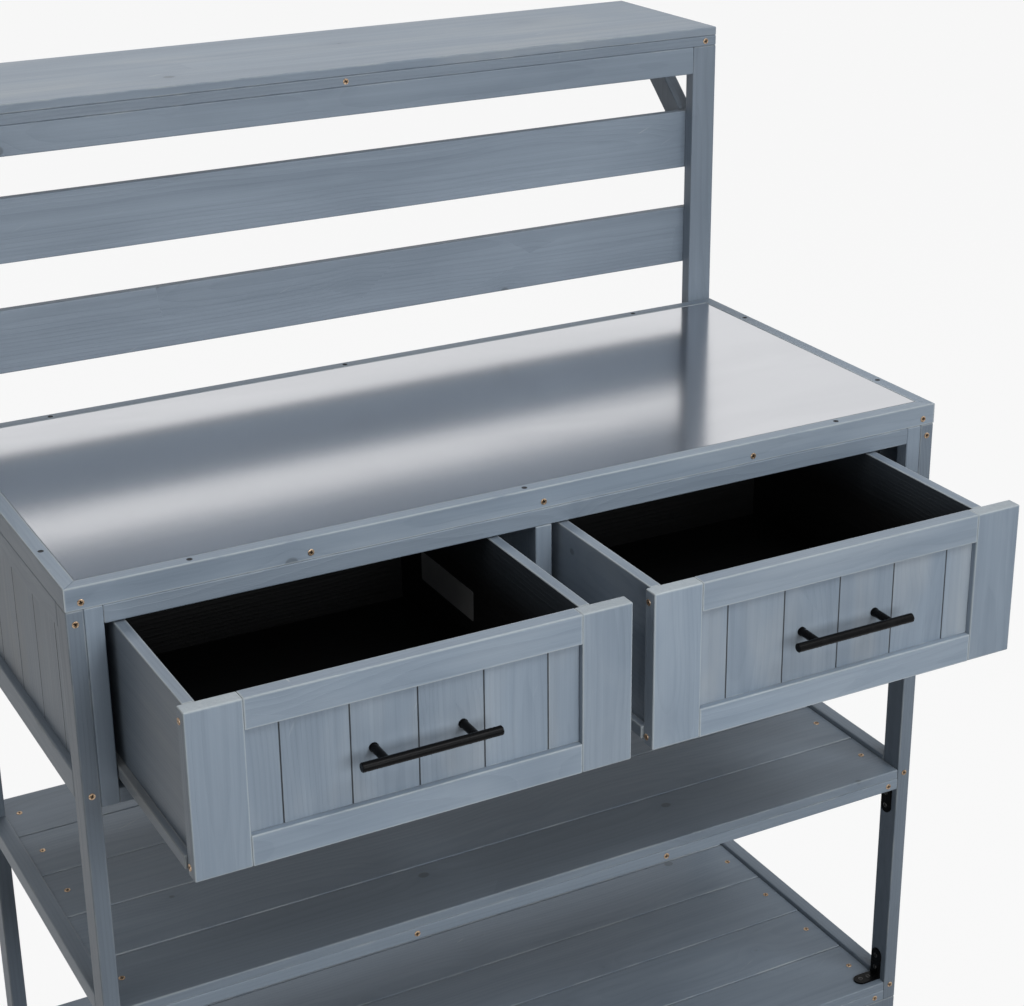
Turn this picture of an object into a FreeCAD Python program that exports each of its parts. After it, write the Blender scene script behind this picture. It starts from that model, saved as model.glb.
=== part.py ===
"""Potting bench: a wooden work table with a metal top, two open drawers, two shelves and a hutch.

The document is driven by one spreadsheet. Every board is a body of its own, a padded outline whose
size and place are expressions of the sheet, so a changed size moves all that fits to it.
X runs to the right, Y to the back, Z up. The origin is on the floor, in the middle of the bench's box.
"""
import FreeCAD, Part
import Sketcher
import os
import re

# Every size is in millimetres, apart from brace_slope (rise over run) and front_full_boards (a count).
SIZES = {
    # overall
    "bench_width": 1060.0,
    "table_depth": 486.0,
    "worktop_height": 870.0,
    "hutch_height": 370.0,
    # stock
    "stock": 18.5,
    "edge_radius": 1.6,
    "seam_radius": 1.1,
    # feet and legs
    "foot_height": 30.0,
    "foot_width": 46.5,
    "leg_depth": 31.5,
    # worktop
    "frame_height": 25.0,
    "frame_width": 16.5,
    "sheet_thick": 1.0,
    "sheet_sink": 0.4,
    "sheet_gap": 0.8,
    "panel_thick": 12.0,
    # cabinet
    "cabinet_height": 222.0,
    "stile_width": 19.5,
    "opening_rail_height": 20.0,
    "sill_height": 17.5,
    "divider_thick": 20.0,
    "side_top_rail": 28.5,
    "side_low_rail": 32.0,
    "board_recess": 8.5,
    "board_thick": 10.0,
    "side_board_width": 77.4,
    "side_first_board": 44.5,
    # shelves
    "middle_shelf_height": 379.0,
    "bottom_shelf_height": 58.0,
    "shelf_board_thick": 12.5,
    "shelf_gap": 1.6,
    "shelf_end_gap": 0.5,
    "apron_height": 15.5,
    "shelf_rail_height": 23.5,
    "shelf_rail_rise": 5.5,
    # hutch
    "post_width": 34.5,
    "post_depth": 17.5,
    "hutch_board_thick": 11.0,
    "hutch_board_depth": 240.0,
    "hutch_lip_height": 13.0,
    "hutch_rail_height": 35.0,
    "slat_thick": 12.0,
    "slat_width": 76.0,
    "upper_slat_rise": 183.5,
    "lower_slat_rise": 52.6,
    "brace_width": 31.5,
    "brace_slope": 0.9,
    "brace_rise": 257.0,
    # drawers
    "front_gap": 4.0,
    "front_top_gap": 2.0,
    "front_height": 178.5,
    "front_thick": 18.0,
    "front_stile": 58.0,
    "front_rail": 33.0,
    "front_recess": 7.0,
    "front_board_thick": 9.0,
    "front_full_boards": 4.0,
    "box_offset": 5.5,
    "box_width": 429.0,
    "box_depth": 430.0,
    "box_wall": 13.0,
    "box_floor_thick": 5.0,
    "box_floor_rise": 7.0,
    "box_height": 172.5,
    "runner_width": 8.5,
    "runner_height": 14.5,
    "left_opening": 209.0,
    "right_opening": 205.0,
    # drawer slides in the cabinet
    "bearer_height": 20.0,
    "slide_gap": 0.3,
    "guide_gap": 1.0,
    "guide_width": 12.0,
    "guide_height": 11.0,
    # handles
    "handle_bar": 5.0,
    "handle_length": 150.0,
    "handle_spacing": 96.0,
    "handle_post": 4.5,
    "handle_reach": 31.0,
    # screws
    "screw_head": 3.6,
    "screw_proud": 0.8,
    "frame_screw_inset": 16.5,
    "frame_screw_pitch": 271.5,
    "frame_screw_drop": 17.0,
    "apron_screw_inset": 33.0,
    "board_screw_shift": 5.0,
    "front_screw_low": 10.5,
    "front_screw_top": 13.5,
    "front_screw_depth": 6.0,
    # brackets
    "bracket_width": 18.0,
    "bracket_thick": 2.5,
    "bracket_leg": 42.0,
    "bracket_foot": 34.0,
    "bracket_setback": 9.5,
}

SHELF_BOARDS = 5
SIDE_BOARDS = 6
APRON_SCREWS = 4
BOX_EDGES = 12
START_SIZE = 10.0

# Heights and places that several pieces share, as expressions of the sheet.
FRAME_Z = "(worktop_height - frame_height)"
CABINET_Z = "(worktop_height - frame_height - cabinet_height)"
OPENING_X = "(stock + stile_width)"
OPENING_W = "((bench_width - 2 * stock - 2 * stile_width - divider_thick) / 2)"
BAYS = {"left": OPENING_X, "right": f"({OPENING_X} + {OPENING_W} + divider_thick)"}
RAIL_Z = "(worktop_height - frame_height - opening_rail_height)"
BACK_Y = "(table_depth - stock)"
REAR_LEG_Y = "(table_depth - stock - leg_depth)"
SIDE_LENGTH = f"({REAR_LEG_Y} - leg_depth)"
LIP_Z = "(worktop_height + hutch_height - hutch_board_thick - hutch_lip_height)"
FRONT_TOP = f"({RAIL_Z} - front_top_gap)"
BOX_Z = f"({FRONT_TOP} - box_height)"
FRONT_REACH = "(left_opening - front_recess + handle_reach + handle_bar)"
SHIFT_X = "(bench_width / 2)"
SHIFT_Y = f"((table_depth + hutch_board_depth - {FRONT_REACH}) / 2)"

doc = FreeCAD.newDocument("potting_bench")
sheet = doc.addObject("Spreadsheet::Sheet", "Sizes")
for row, (alias, value) in enumerate(SIZES.items(), start=1):
    sheet.set(f"A{row}", alias)
    sheet.set(f"B{row}", str(value))
    sheet.setAlias(f"B{row}", alias)
doc.recompute()

nodes = []


def bound(expression):
    """Return the expression with each size's name pointing at its cell in the sheet."""
    return re.sub(r"\b([a-z]+(?:_[a-z]+)*)\b", lambda m: f"Sizes.{m[1]}" if m[1] in SIZES else m[1], expression)


def put(item, place):
    """Bind an object's position to three expressions, measured from the table's front left floor corner."""
    x, y, z = place
    item.setExpression("Placement.Base.x", bound(f"({x}) - {SHIFT_X}"))
    item.setExpression("Placement.Base.y", bound(f"({y}) - {SHIFT_Y}"))
    item.setExpression("Placement.Base.z", bound(z))


def node(name, items):
    """Register a sub-part for export; several solids of one kind become one group."""
    if len(items) == 1:
        items[0].Label = name
        nodes.append(items[0])
        return
    group = doc.addObject("Part::Compound", f"{name}_group")
    group.Links = items
    for item in items:
        item.Label = f"{item.Name}_piece"
    group.Label = name
    nodes.append(group)


def outline(body, role):
    """Add a closed sketch of four joined lines to a body, on its origin plane of the given role."""
    sketch = body.newObject("Sketcher::SketchObject", f"{body.Name}_outline")
    plane = next(item for item in body.Origin.OriginFeatures if item.Role == role)
    sketch.AttachmentSupport = (plane, [""])
    sketch.MapMode = "FlatFace"
    turns = ((0, 0), (START_SIZE, 0), (START_SIZE, START_SIZE), (0, START_SIZE))
    corners = [FreeCAD.Vector(x, y, 0) for x, y in turns]
    for start, end in zip(corners, corners[1:] + corners[:1]):
        sketch.addGeometry(Part.LineSegment(start, end), False)
    for side in range(4):
        sketch.addConstraint(Sketcher.Constraint("Coincident", side, 2, (side + 1) % 4, 1))
    return sketch


def length_of(sketch, name, kind, points, expression):
    """Add a driven length to a sketch between two points, each a line number and an end."""
    index = sketch.addConstraint(Sketcher.Constraint(kind, *points[0], *points[1], START_SIZE))
    sketch.renameConstraint(index, name)
    sketch.setExpression(f"Constraints.{name}", bound(expression))


def padded(body, sketch, height, radius, upright_edges=True):
    """Pad a body's sketch and ease its edges; the four upright ones can be left sharp."""
    pad = body.newObject("PartDesign::Pad", f"{body.Name}_pad")
    pad.Profile = sketch
    pad.setExpression("Length", bound(height))
    edges = range(1, BOX_EDGES + 1)
    if not upright_edges:
        doc.recompute()
        edges = [edge for edge in edges if abs(pad.Shape.Edges[edge - 1].tangentAt(0).z) < 0.5]
    eased = body.newObject("PartDesign::Fillet", f"{body.Name}_eased")
    eased.Base = (pad, [f"Edge{edge}" for edge in edges])
    eased.setExpression("Radius", bound(radius))
    body.Tip = eased


def board(name, size, place, radius="edge_radius"):
    """Make one board: a rectangle padded upwards, with all its edges eased.

    size and place are expressions for X, Y and Z; place is the board's low corner.
    """
    body = doc.addObject("PartDesign::Body", name)
    sketch = outline(body, "XY_Plane")
    for side, kind in enumerate(("Horizontal", "Vertical", "Horizontal", "Vertical")):
        sketch.addConstraint(Sketcher.Constraint(kind, side))
    sketch.addConstraint(Sketcher.Constraint("Coincident", 0, 1, -1, 1))
    length_of(sketch, "length_x", "DistanceX", ((0, 1), (0, 2)), size[0])
    length_of(sketch, "length_y", "DistanceY", ((1, 1), (1, 2)), size[1])
    padded(body, sketch, size[2], radius)
    put(body, place)
    return body


def shaped(name, role, corners, height, place, upright_edges=True):
    """Make one board from four corners, each two expressions at or above zero on the given plane."""
    body = doc.addObject("PartDesign::Body", name)
    sketch = outline(body, role)
    for line, (x, y) in enumerate(corners):
        length_of(sketch, f"corner_{line}_x", "DistanceX", ((-1, 1), (line, 1)), x)
        length_of(sketch, f"corner_{line}_y", "DistanceY", ((-1, 1), (line, 1)), y)
    padded(body, sketch, height, "seam_radius", upright_edges)
    put(body, place)
    return body


def block(name, size, place):
    """Make a plain box with sharp edges from its size and its low corner."""
    item = doc.addObject("Part::Box", name)
    for side, length in zip(("Length", "Width", "Height"), size):
        item.setExpression(side, bound(length))
    put(item, place)
    return item


def cylinder(name, radius, length, place, axis):
    """Make a cylinder that runs from its place along X, Y or Z."""
    item = doc.addObject("Part::Cylinder", name)
    item.setExpression("Radius", bound(radius))
    item.setExpression("Height", bound(length))
    turns = {"x": ((0, 1, 0), 90), "y": ((1, 0, 0), -90), "z": ((0, 0, 1), 0)}
    direction, angle = turns[axis]
    item.Placement = FreeCAD.Placement(FreeCAD.Vector(), FreeCAD.Rotation(FreeCAD.Vector(*direction), angle))
    put(item, place)
    return item


def fused(name, pieces):
    """Join several shapes into one solid."""
    item = doc.addObject("Part::MultiFuse", name)
    item.Shapes = pieces
    return item


def screw(name, place, axis, way):
    """Make a screw head seated on a face; way is -1 where it stands towards the axis's low end."""
    place = list(place)
    if way < 0:
        index = "xyz".index(axis)
        place[index] = f"{place[index]} - screw_proud"
    return cylinder(name, "screw_head", "screw_proud", place, axis)


# Feet and legs.
LEG_H = f"({FRAME_Z} - foot_height)"
FOOT = ("foot_width", "foot_width", "foot_height")
LEG = ("stock", "leg_depth", LEG_H)
feet = []
for side, foot_x, leg_x in (
    ("left", "0", "0"),
    ("right", "bench_width - foot_width", "bench_width - stock"),
):
    for end, foot_y, leg_y in (("front", "0", "0"), ("rear", f"{BACK_Y} - foot_width", REAR_LEG_Y)):
        feet.append(board(f"foot_{end}_{side}", FOOT, (foot_x, foot_y, "0")))
        node(f"leg_{end}_{side}", [board(f"leg_{end}_{side}", LEG, (leg_x, leg_y, "foot_height"))])
node("feet", feet)

# Worktop: a mitred frame around a metal sheet that lies on a panel.
IN_NEAR = "frame_width"
IN_X = "bench_width - frame_width"
IN_Y = "table_depth - frame_width"
FRAME_RAILS = {
    "frame_front": (("0", "0"), ("bench_width", "0"), (IN_X, IN_NEAR), (IN_NEAR, IN_NEAR)),
    "frame_right": (("bench_width", "0"), ("bench_width", "table_depth"), (IN_X, IN_Y), (IN_X, IN_NEAR)),
    "frame_back": (("bench_width", "table_depth"), ("0", "table_depth"), (IN_NEAR, IN_Y), (IN_X, IN_Y)),
    "frame_left": (("0", "table_depth"), ("0", "0"), (IN_NEAR, IN_NEAR), (IN_NEAR, IN_Y)),
}
for name, corners in FRAME_RAILS.items():
    node(name, [shaped(name, "XY_Plane", corners, "frame_height", ("0", "0", FRAME_Z), upright_edges=False)])
SHEET_Z = "(worktop_height - sheet_sink - sheet_thick)"
sheet_size = (
    "bench_width - 2 * frame_width - 2 * sheet_gap",
    "table_depth - 2 * frame_width - 2 * sheet_gap",
    "sheet_thick",
)
sheet_place = ("frame_width + sheet_gap", "frame_width + sheet_gap", SHEET_Z)
node("worktop_sheet", [block("worktop_sheet", sheet_size, sheet_place)])
panel_size = ("bench_width - 2 * frame_width", "table_depth - 2 * frame_width", "panel_thick")
panel_place = ("frame_width", "frame_width", f"{SHEET_Z} - panel_thick")
node("worktop_panel", [block("worktop_panel", panel_size, panel_place)])

# Cabinet: stiles, the rail over the drawers, the sills under them, the divider and the back.
for side, x in (("left", "stock"), ("right", "bench_width - stock - stile_width")):
    stile = ("stile_width", "stock", "cabinet_height")
    node(f"stile_{side}", [board(f"stile_{side}", stile, (x, "0", CABINET_Z))])
rail_size = ("bench_width - 2 * stock - 2 * stile_width", "stock", "opening_rail_height")
node("opening_rail", [board("opening_rail", rail_size, (OPENING_X, "0", RAIL_Z))])
divider_size = ("divider_thick", BACK_Y, "cabinet_height - opening_rail_height")
node("centre_divider", [board("centre_divider", divider_size, (f"{OPENING_X} + {OPENING_W}", "0", CABINET_Z))])
sill_size = (OPENING_W, "stock", "sill_height")
node("sills", [board(f"sill_{side}", sill_size, (x, "0", CABINET_Z)) for side, x in BAYS.items()])
back_size = ("bench_width", "stock", "cabinet_height")
node("back_board", [board("back_board", back_size, ("0", BACK_Y, CABINET_Z))])

# Cabinet sides: two rails with tongued boards between them.
for side, x in (("left", "0"), ("right", "bench_width - stock")):
    top_place = (x, "leg_depth", f"{FRAME_Z} - side_top_rail")
    upper = board(f"side_top_rail_{side}", ("stock", SIDE_LENGTH, "side_top_rail"), top_place)
    low_place = (x, "leg_depth", CABINET_Z)
    lower = board(f"side_low_rail_{side}", ("stock", SIDE_LENGTH, "side_low_rail"), low_place)
    node(f"side_rails_{side}", [upper, lower])
    board_x = "board_recess" if side == "left" else "bench_width - board_recess - board_thick"
    board_z = f"{CABINET_Z} + side_low_rail"
    board_h = "cabinet_height - side_low_rail - side_top_rail"
    boards = []
    for number in range(SIDE_BOARDS):
        before = f"side_first_board + {number - 1} * side_board_width"
        y = f"leg_depth + {before}"
        width = "side_board_width"
        if number == 0:
            y = "leg_depth"
            width = "side_first_board"
        if number == SIDE_BOARDS - 1:
            width = f"{SIDE_LENGTH} - ({before})"
        size = ("board_thick", width, board_h)
        boards.append(board(f"side_board_{side}_{number + 1}", size, (board_x, y, board_z), "seam_radius"))
    node(f"side_boards_{side}", boards)

# Drawer slides: a bearer under each drawer side and a guide strip beside each runner with no wall by it.
SLIDE_LENGTH = f"({BACK_Y} - stock)"
BEARER_Z = f"{BOX_Z} - slide_gap - bearer_height"
GUIDE = ("guide_width", SLIDE_LENGTH, "guide_height")
slides = []
for side, bay in BAYS.items():
    low_wall = "stock" if side == "left" else bay
    high_wall = f"({bay} + {OPENING_W})" if side == "left" else "(bench_width - stock)"
    box_low = f"({bay} + front_gap + box_offset)"
    box_high = f"({box_low} + box_width)"
    low_size = (f"{box_low} + box_wall - ({low_wall})", SLIDE_LENGTH, "bearer_height")
    slides.append(board(f"bearer_{side}_a", low_size, (low_wall, "stock", BEARER_Z)))
    high_size = (f"{high_wall} - {box_high} + box_wall", SLIDE_LENGTH, "bearer_height")
    slides.append(board(f"bearer_{side}_b", high_size, (f"{box_high} - box_wall", "stock", BEARER_Z)))
    guide_z = f"{BOX_Z} - slide_gap"
    if side == "left":
        low_x = f"{box_low} - runner_width - guide_gap - guide_width"
        slides.append(board(f"guide_{side}_a", GUIDE, (low_x, "stock", guide_z)))
    high_x = f"{box_high} + runner_width + guide_gap"
    slides.append(board(f"guide_{side}_b", GUIDE, (high_x, "stock", guide_z)))
node("drawer_slides", slides)

# Shelves: boards on aprons and cleats, between side rails that stand a little above them.
SHELVES = {"middle": "middle_shelf_height", "bottom": "bottom_shelf_height"}
BOARD_W = f"((table_depth - {SHELF_BOARDS - 1} * shelf_gap) / {SHELF_BOARDS})"
SHELF_BOARD = ("bench_width - 2 * stock - 2 * shelf_end_gap", BOARD_W, "shelf_board_thick")
APRON = ("bench_width - 2 * stock", "stock", "apron_height")
SHELF_RAIL = ("stock", SIDE_LENGTH, "shelf_rail_height")
CLEAT = ("stock", SIDE_LENGTH, "apron_height")
cleats = []
for shelf, top in SHELVES.items():
    boards = []
    for number in range(SHELF_BOARDS):
        place = ("stock + shelf_end_gap", f"{number} * ({BOARD_W} + shelf_gap)", f"{top} - shelf_board_thick")
        boards.append(board(f"{shelf}_shelf_board_{number + 1}", SHELF_BOARD, place))
    node(f"{shelf}_shelf_boards", boards)
    under = f"{top} - shelf_board_thick - apron_height"
    front = board(f"{shelf}_apron_front", APRON, ("stock", "0", under))
    rear = board(f"{shelf}_apron_rear", APRON, ("stock", BACK_Y, under))
    node(f"{shelf}_shelf_aprons", [front, rear])
    rail_z = f"{top} + shelf_rail_rise - shelf_rail_height"
    rails = []
    for side, x, cleat_x in (
        ("left", "0", "stock"),
        ("right", "bench_width - stock", "bench_width - 2 * stock"),
    ):
        rails.append(board(f"{shelf}_rail_{side}", SHELF_RAIL, (x, "leg_depth", rail_z)))
        cleats.append(board(f"{shelf}_cleat_{side}", CLEAT, (cleat_x, "leg_depth", under)))
    node(f"{shelf}_shelf_rails", rails)
node("shelf_cleats", cleats)

# Hutch: posts behind the table, slats across their backs, a rail, a lipped top board and two braces.
POST = ("post_width", "post_depth", f"{LIP_Z} - {CABINET_Z}")
for side, x in (("left", "0"), ("right", "bench_width - post_width")):
    node(f"post_{side}", [board(f"post_{side}", POST, (x, "table_depth", CABINET_Z))])
hutch_rail = ("bench_width - 2 * post_width", "post_depth", "hutch_rail_height")
rail_place = ("post_width", "table_depth", f"{LIP_Z} - hutch_rail_height")
node("hutch_rail", [board("hutch_rail", hutch_rail, rail_place)])
SLAT = ("bench_width", "slat_thick", "slat_width")
for level in ("upper", "lower"):
    place = ("0", "table_depth + post_depth", f"worktop_height + {level}_slat_rise")
    node(f"slat_{level}", [board(f"slat_{level}", SLAT, place)])
lip = ("bench_width", "stock", "hutch_lip_height")
node("hutch_lip", [board("hutch_lip", lip, ("0", "table_depth", LIP_Z))])
HUTCH_CLEAT = ("stock", "hutch_board_depth - stock", "hutch_lip_height")
hutch_cleats = [
    board("hutch_cleat_left", HUTCH_CLEAT, ("0", "table_depth + stock", LIP_Z)),
    board("hutch_cleat_right", HUTCH_CLEAT, ("bench_width - stock", "table_depth + stock", LIP_Z)),
]
node("hutch_cleats", hutch_cleats)
top_board = ("bench_width", "hutch_board_depth", "hutch_board_thick")
node("hutch_board", [board("hutch_board", top_board, ("0", "table_depth", f"{LIP_Z} + hutch_lip_height"))])

# Braces: each runs from the upper slat's back up to the underside of the hutch's lip height.
BRACE_DROP = "(brace_width * sqrt(1 + brace_slope * brace_slope))"
BRACE_CLIMB = f"({LIP_Z} - worktop_height - brace_rise)"
BRACE_CORNERS = (
    ("0", "0"),
    ("0", BRACE_DROP),
    (f"{BRACE_CLIMB} / brace_slope", f"{BRACE_CLIMB} + {BRACE_DROP}"),
    (f"({BRACE_CLIMB} + {BRACE_DROP}) / brace_slope", f"{BRACE_CLIMB} + {BRACE_DROP}"),
)
braces = []
for side, x in (("left", "post_width - stock"), ("right", "bench_width - post_width")):
    place = (x, "table_depth + post_depth + slat_thick", f"worktop_height + brace_rise - {BRACE_DROP}")
    braces.append(shaped(f"brace_{side}", "YZ_Plane", BRACE_CORNERS, "stock", place))
node("braces", braces)


def drawer(side, bay, opening):
    """Make one drawer: a panelled front on an open box with runners, and its bar handle."""
    front_x = f"({bay} + front_gap)"
    front_w = f"({OPENING_W} - 2 * front_gap)"
    front_z = f"({FRONT_TOP} - front_height)"
    face_y = f"(-1 * {opening})"
    back_y = f"({face_y} + front_thick)"
    inner_x = f"({front_x} + front_stile)"
    inner_w = f"({front_w} - 2 * front_stile)"

    stile = ("front_stile", "front_thick", "front_height")
    stiles = [
        board(f"{side}_front_stile_a", stile, (front_x, face_y, front_z)),
        board(f"{side}_front_stile_b", stile, (f"{inner_x} + {inner_w}", face_y, front_z)),
    ]
    node(f"drawer_{side}_front_stiles", stiles)
    rail = (inner_w, "front_thick", "front_rail")
    rails = [
        board(f"{side}_front_rail_a", rail, (inner_x, face_y, f"{FRONT_TOP} - front_rail"), "seam_radius"),
        board(f"{side}_front_rail_b", rail, (inner_x, face_y, front_z), "seam_radius"),
    ]
    node(f"drawer_{side}_front_rails", rails)

    full = f"({inner_w} / (front_full_boards + 1))"
    last = int(SIZES["front_full_boards"]) + 1
    boards = []
    for number in range(last + 1):
        width = f"{full} / 2" if number in (0, last) else full
        x = inner_x if number == 0 else f"{inner_x} + {full} * {number - 0.5}"
        size = (width, "front_board_thick", "front_height - 2 * front_rail")
        place = (x, f"{face_y} + front_recess", f"{front_z} + front_rail")
        boards.append(board(f"{side}_front_board_{number + 1}", size, place, "seam_radius"))
    node(f"drawer_{side}_front_boards", boards)

    box_x = f"({front_x} + box_offset)"
    inside_x = f"{box_x} + box_wall"
    inside_w = "box_width - 2 * box_wall"
    wall = ("box_wall", "box_depth", "box_height")
    walls = [
        board(f"{side}_wall_a", wall, (box_x, back_y, BOX_Z), "seam_radius"),
        board(f"{side}_wall_b", wall, (f"{box_x} + box_width - box_wall", back_y, BOX_Z), "seam_radius"),
    ]
    node(f"drawer_{side}_walls", walls)
    rear_place = (inside_x, f"{back_y} + box_depth - box_wall", BOX_Z)
    rear = board(f"{side}_rear", (inside_w, "box_wall", "box_height"), rear_place, "seam_radius")
    node(f"drawer_{side}_rear", [rear])
    floor_size = (inside_w, "box_depth - box_wall", "box_floor_thick")
    floor = block(f"{side}_floor", floor_size, (inside_x, back_y, f"{BOX_Z} + box_floor_rise"))
    node(f"drawer_{side}_floor", [floor])
    runner = ("runner_width", "box_depth", "runner_height")
    runners = [
        board(f"{side}_runner_a", runner, (f"{box_x} - runner_width", back_y, BOX_Z), "seam_radius"),
        board(f"{side}_runner_b", runner, (f"{box_x} + box_width", back_y, BOX_Z), "seam_radius"),
    ]
    node(f"drawer_{side}_runners", runners)

    middle_x = f"{front_x} + {front_w} / 2"
    middle_z = f"{front_z} + front_height / 2"
    bar_y = f"{face_y} + front_recess - handle_reach"
    bar_place = (f"{middle_x} - handle_length / 2", bar_y, middle_z)
    pieces = [cylinder(f"{side}_bar", "handle_bar", "handle_length", bar_place, "x")]
    for sign in ("-", "+"):
        post_place = (f"{middle_x} {sign} handle_spacing / 2", bar_y, middle_z)
        pieces.append(cylinder(f"{side}_bar_post", "handle_post", "handle_reach", post_place, "y"))
    node(f"drawer_{side}_handle", [fused(f"{side}_handle", pieces)])

    screws = []
    screw_y = f"{back_y} - front_screw_depth"
    for z in (f"{front_z} + front_screw_low", f"{FRONT_TOP} - front_screw_top"):
        screws.append(screw(f"{side}_front_screw_a", (front_x, screw_y, z), "x", -1))
        screws.append(screw(f"{side}_front_screw_b", (f"{front_x} + {front_w}", screw_y, z), "x", 1))
    node(f"drawer_{side}_screws", screws)


for side, bay in BAYS.items():
    drawer(side, bay, f"{side}_opening")

# Screws of the worktop frame, the legs and the hutch's lip.
FRAME_SCREWS_X = (
    "frame_screw_inset",
    "bench_width / 2 - frame_screw_pitch",
    "bench_width / 2",
    "bench_width / 2 + frame_screw_pitch",
    "bench_width - frame_screw_inset",
)
LEG_SCREWS_Z = (
    f"{FRAME_Z} - side_top_rail / 2",
    f"{CABINET_Z} + side_low_rail / 2",
    "middle_shelf_height + shelf_rail_rise - shelf_rail_height / 2",
    "bottom_shelf_height + shelf_rail_rise - shelf_rail_height / 2",
)
LIP_SCREWS_X = ("frame_screw_inset", "bench_width / 2", "bench_width - frame_screw_inset")
screws = []
for x in FRAME_SCREWS_X:
    screws.append(screw("frame_front_screw", (x, "0", "worktop_height - frame_screw_drop"), "y", -1))
for x in ("stock / 2", "bench_width - stock / 2"):
    for z in LEG_SCREWS_Z:
        screws.append(screw("leg_screw", (x, "0", z), "y", -1))
for x in LIP_SCREWS_X:
    screws.append(screw("lip_screw", (x, "table_depth", f"{LIP_Z} + hutch_lip_height / 2"), "y", -1))
node("frame_screws", screws)

# Screws of the shelves: along each front apron and one at each end of each board.
APRON_PITCH = f"(bench_width - 2 * apron_screw_inset) / {APRON_SCREWS - 1}"
screws = []
for shelf, top in SHELVES.items():
    for number in range(APRON_SCREWS):
        x = f"apron_screw_inset + {number} * {APRON_PITCH}"
        z = f"{top} - shelf_board_thick - apron_height / 2"
        screws.append(screw(f"{shelf}_apron_screw", (x, "0", z), "y", -1))
    for number in range(SHELF_BOARDS):
        y = f"{number} * ({BOARD_W} + shelf_gap) + {BOARD_W} / 2 + board_screw_shift"
        for x in ("2 * stock", "bench_width - 2 * stock"):
            screws.append(screw(f"{shelf}_board_screw", (x, y, top), "z", 1))
node("shelf_screws", screws)


def bracket(name, corner, inward, upward):
    """Make an angle bracket with round ends, from the corner of a leg and a shelf.

    inward and upward are 1 or -1: which way the foot and the upright run from the corner.
    """
    x, y, z = corner
    leg = "(bracket_leg - bracket_width / 2)"
    foot = "(bracket_foot - bracket_width / 2)"
    plate_x = x if inward > 0 else f"{x} - bracket_thick"
    plate_z = z if upward > 0 else f"{z} - bracket_thick"
    low_x = x if inward > 0 else f"{x} - {foot}"
    low_z = z if upward > 0 else f"{z} - {leg}"
    middle_y = f"{y} + bracket_width / 2"
    end_x = f"{x} + {inward} * {foot}"
    end_z = f"{z} + {upward} * {leg}"
    round_leg = (plate_x, middle_y, end_z)
    round_foot = (end_x, middle_y, plate_z)
    pieces = [
        block(f"{name}_leg", ("bracket_thick", "bracket_width", leg), (plate_x, y, low_z)),
        block(f"{name}_foot", (foot, "bracket_width", "bracket_thick"), (low_x, y, plate_z)),
        cylinder(f"{name}_leg_end", "bracket_width / 2", "bracket_thick", round_leg, "x"),
        cylinder(f"{name}_foot_end", "bracket_width / 2", "bracket_thick", round_foot, "z"),
    ]
    return fused(name, pieces)


MIDDLE_UNDER = "middle_shelf_height - shelf_board_thick - apron_height"
REAR_BRACKET_Y = "table_depth - bracket_setback - bracket_width"
brackets = []
for side, x, inward in (("left", "stock", 1), ("right", "bench_width - stock", -1)):
    for end, y in (("front", "bracket_setback"), ("rear", REAR_BRACKET_Y)):
        brackets.append(bracket(f"bracket_middle_{end}_{side}", (x, y, MIDDLE_UNDER), inward, -1))
        brackets.append(bracket(f"bracket_bottom_{end}_{side}", (x, y, "bottom_shelf_height"), inward, 1))
node("brackets", brackets)

doc.recompute()
failed = [item.Label for item in doc.Objects if {"Invalid", "Error"} & set(item.State)]
if failed:
    raise SystemExit(f"objects that failed: {failed}")
for item in nodes:
    if item.Shape.isNull() or not item.Shape.isValid():
        raise SystemExit(f"bad shape: {item.Label}")
os.makedirs("parts", exist_ok=True)
for item in nodes:
    item.Shape.exportStep(f"parts/{item.Label}.step")
print(len(nodes), "nodes", sum(len(item.Shape.Solids) for item in nodes), "solids")
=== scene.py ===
"""Looks of the potting bench: stained boards, a brushed metal top, drawers and hardware, in a plain studio."""

import logging
import math
from dataclasses import dataclass, field
from enum import Enum
from typing import Any, Mapping, Sequence, Union

import bmesh
import bpy
from mathutils import Matrix, Vector


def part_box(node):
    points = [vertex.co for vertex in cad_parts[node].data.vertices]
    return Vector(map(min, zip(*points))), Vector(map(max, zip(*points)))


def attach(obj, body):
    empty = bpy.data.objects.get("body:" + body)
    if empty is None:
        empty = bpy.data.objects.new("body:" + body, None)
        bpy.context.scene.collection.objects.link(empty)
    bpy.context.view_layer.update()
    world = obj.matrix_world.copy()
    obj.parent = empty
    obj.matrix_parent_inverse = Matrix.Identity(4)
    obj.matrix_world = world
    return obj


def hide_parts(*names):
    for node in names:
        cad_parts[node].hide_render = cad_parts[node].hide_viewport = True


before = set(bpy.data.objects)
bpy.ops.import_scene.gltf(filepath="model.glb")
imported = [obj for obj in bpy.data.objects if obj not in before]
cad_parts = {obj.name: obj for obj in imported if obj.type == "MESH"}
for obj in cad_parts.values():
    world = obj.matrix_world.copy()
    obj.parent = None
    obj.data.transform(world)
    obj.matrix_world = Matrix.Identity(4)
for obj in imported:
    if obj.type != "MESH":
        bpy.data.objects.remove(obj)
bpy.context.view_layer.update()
LOG = logging.getLogger("potting_bench")
MM = 0.001

Vec = tuple[float, float, float]
Colour = tuple[float, float, float, float]


class Axis(Enum):
    """One axis of the bench's frame."""

    X = 0
    Y = 1
    Z = 2


class Slot(Enum):
    """A material slot of the record that a finish belongs to."""

    STAINED = "stained_wood"
    RAW = "raw_wood"
    BLACK_PAINT = "black_paint"
    SHEET = "sheet_metal"
    BLACK_METAL = "black_metal"
    BRASS = "screw_brass"


class Side(Enum):
    """Which of the two drawers or ends a piece belongs to."""

    LEFT = "left"
    RIGHT = "right"


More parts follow.
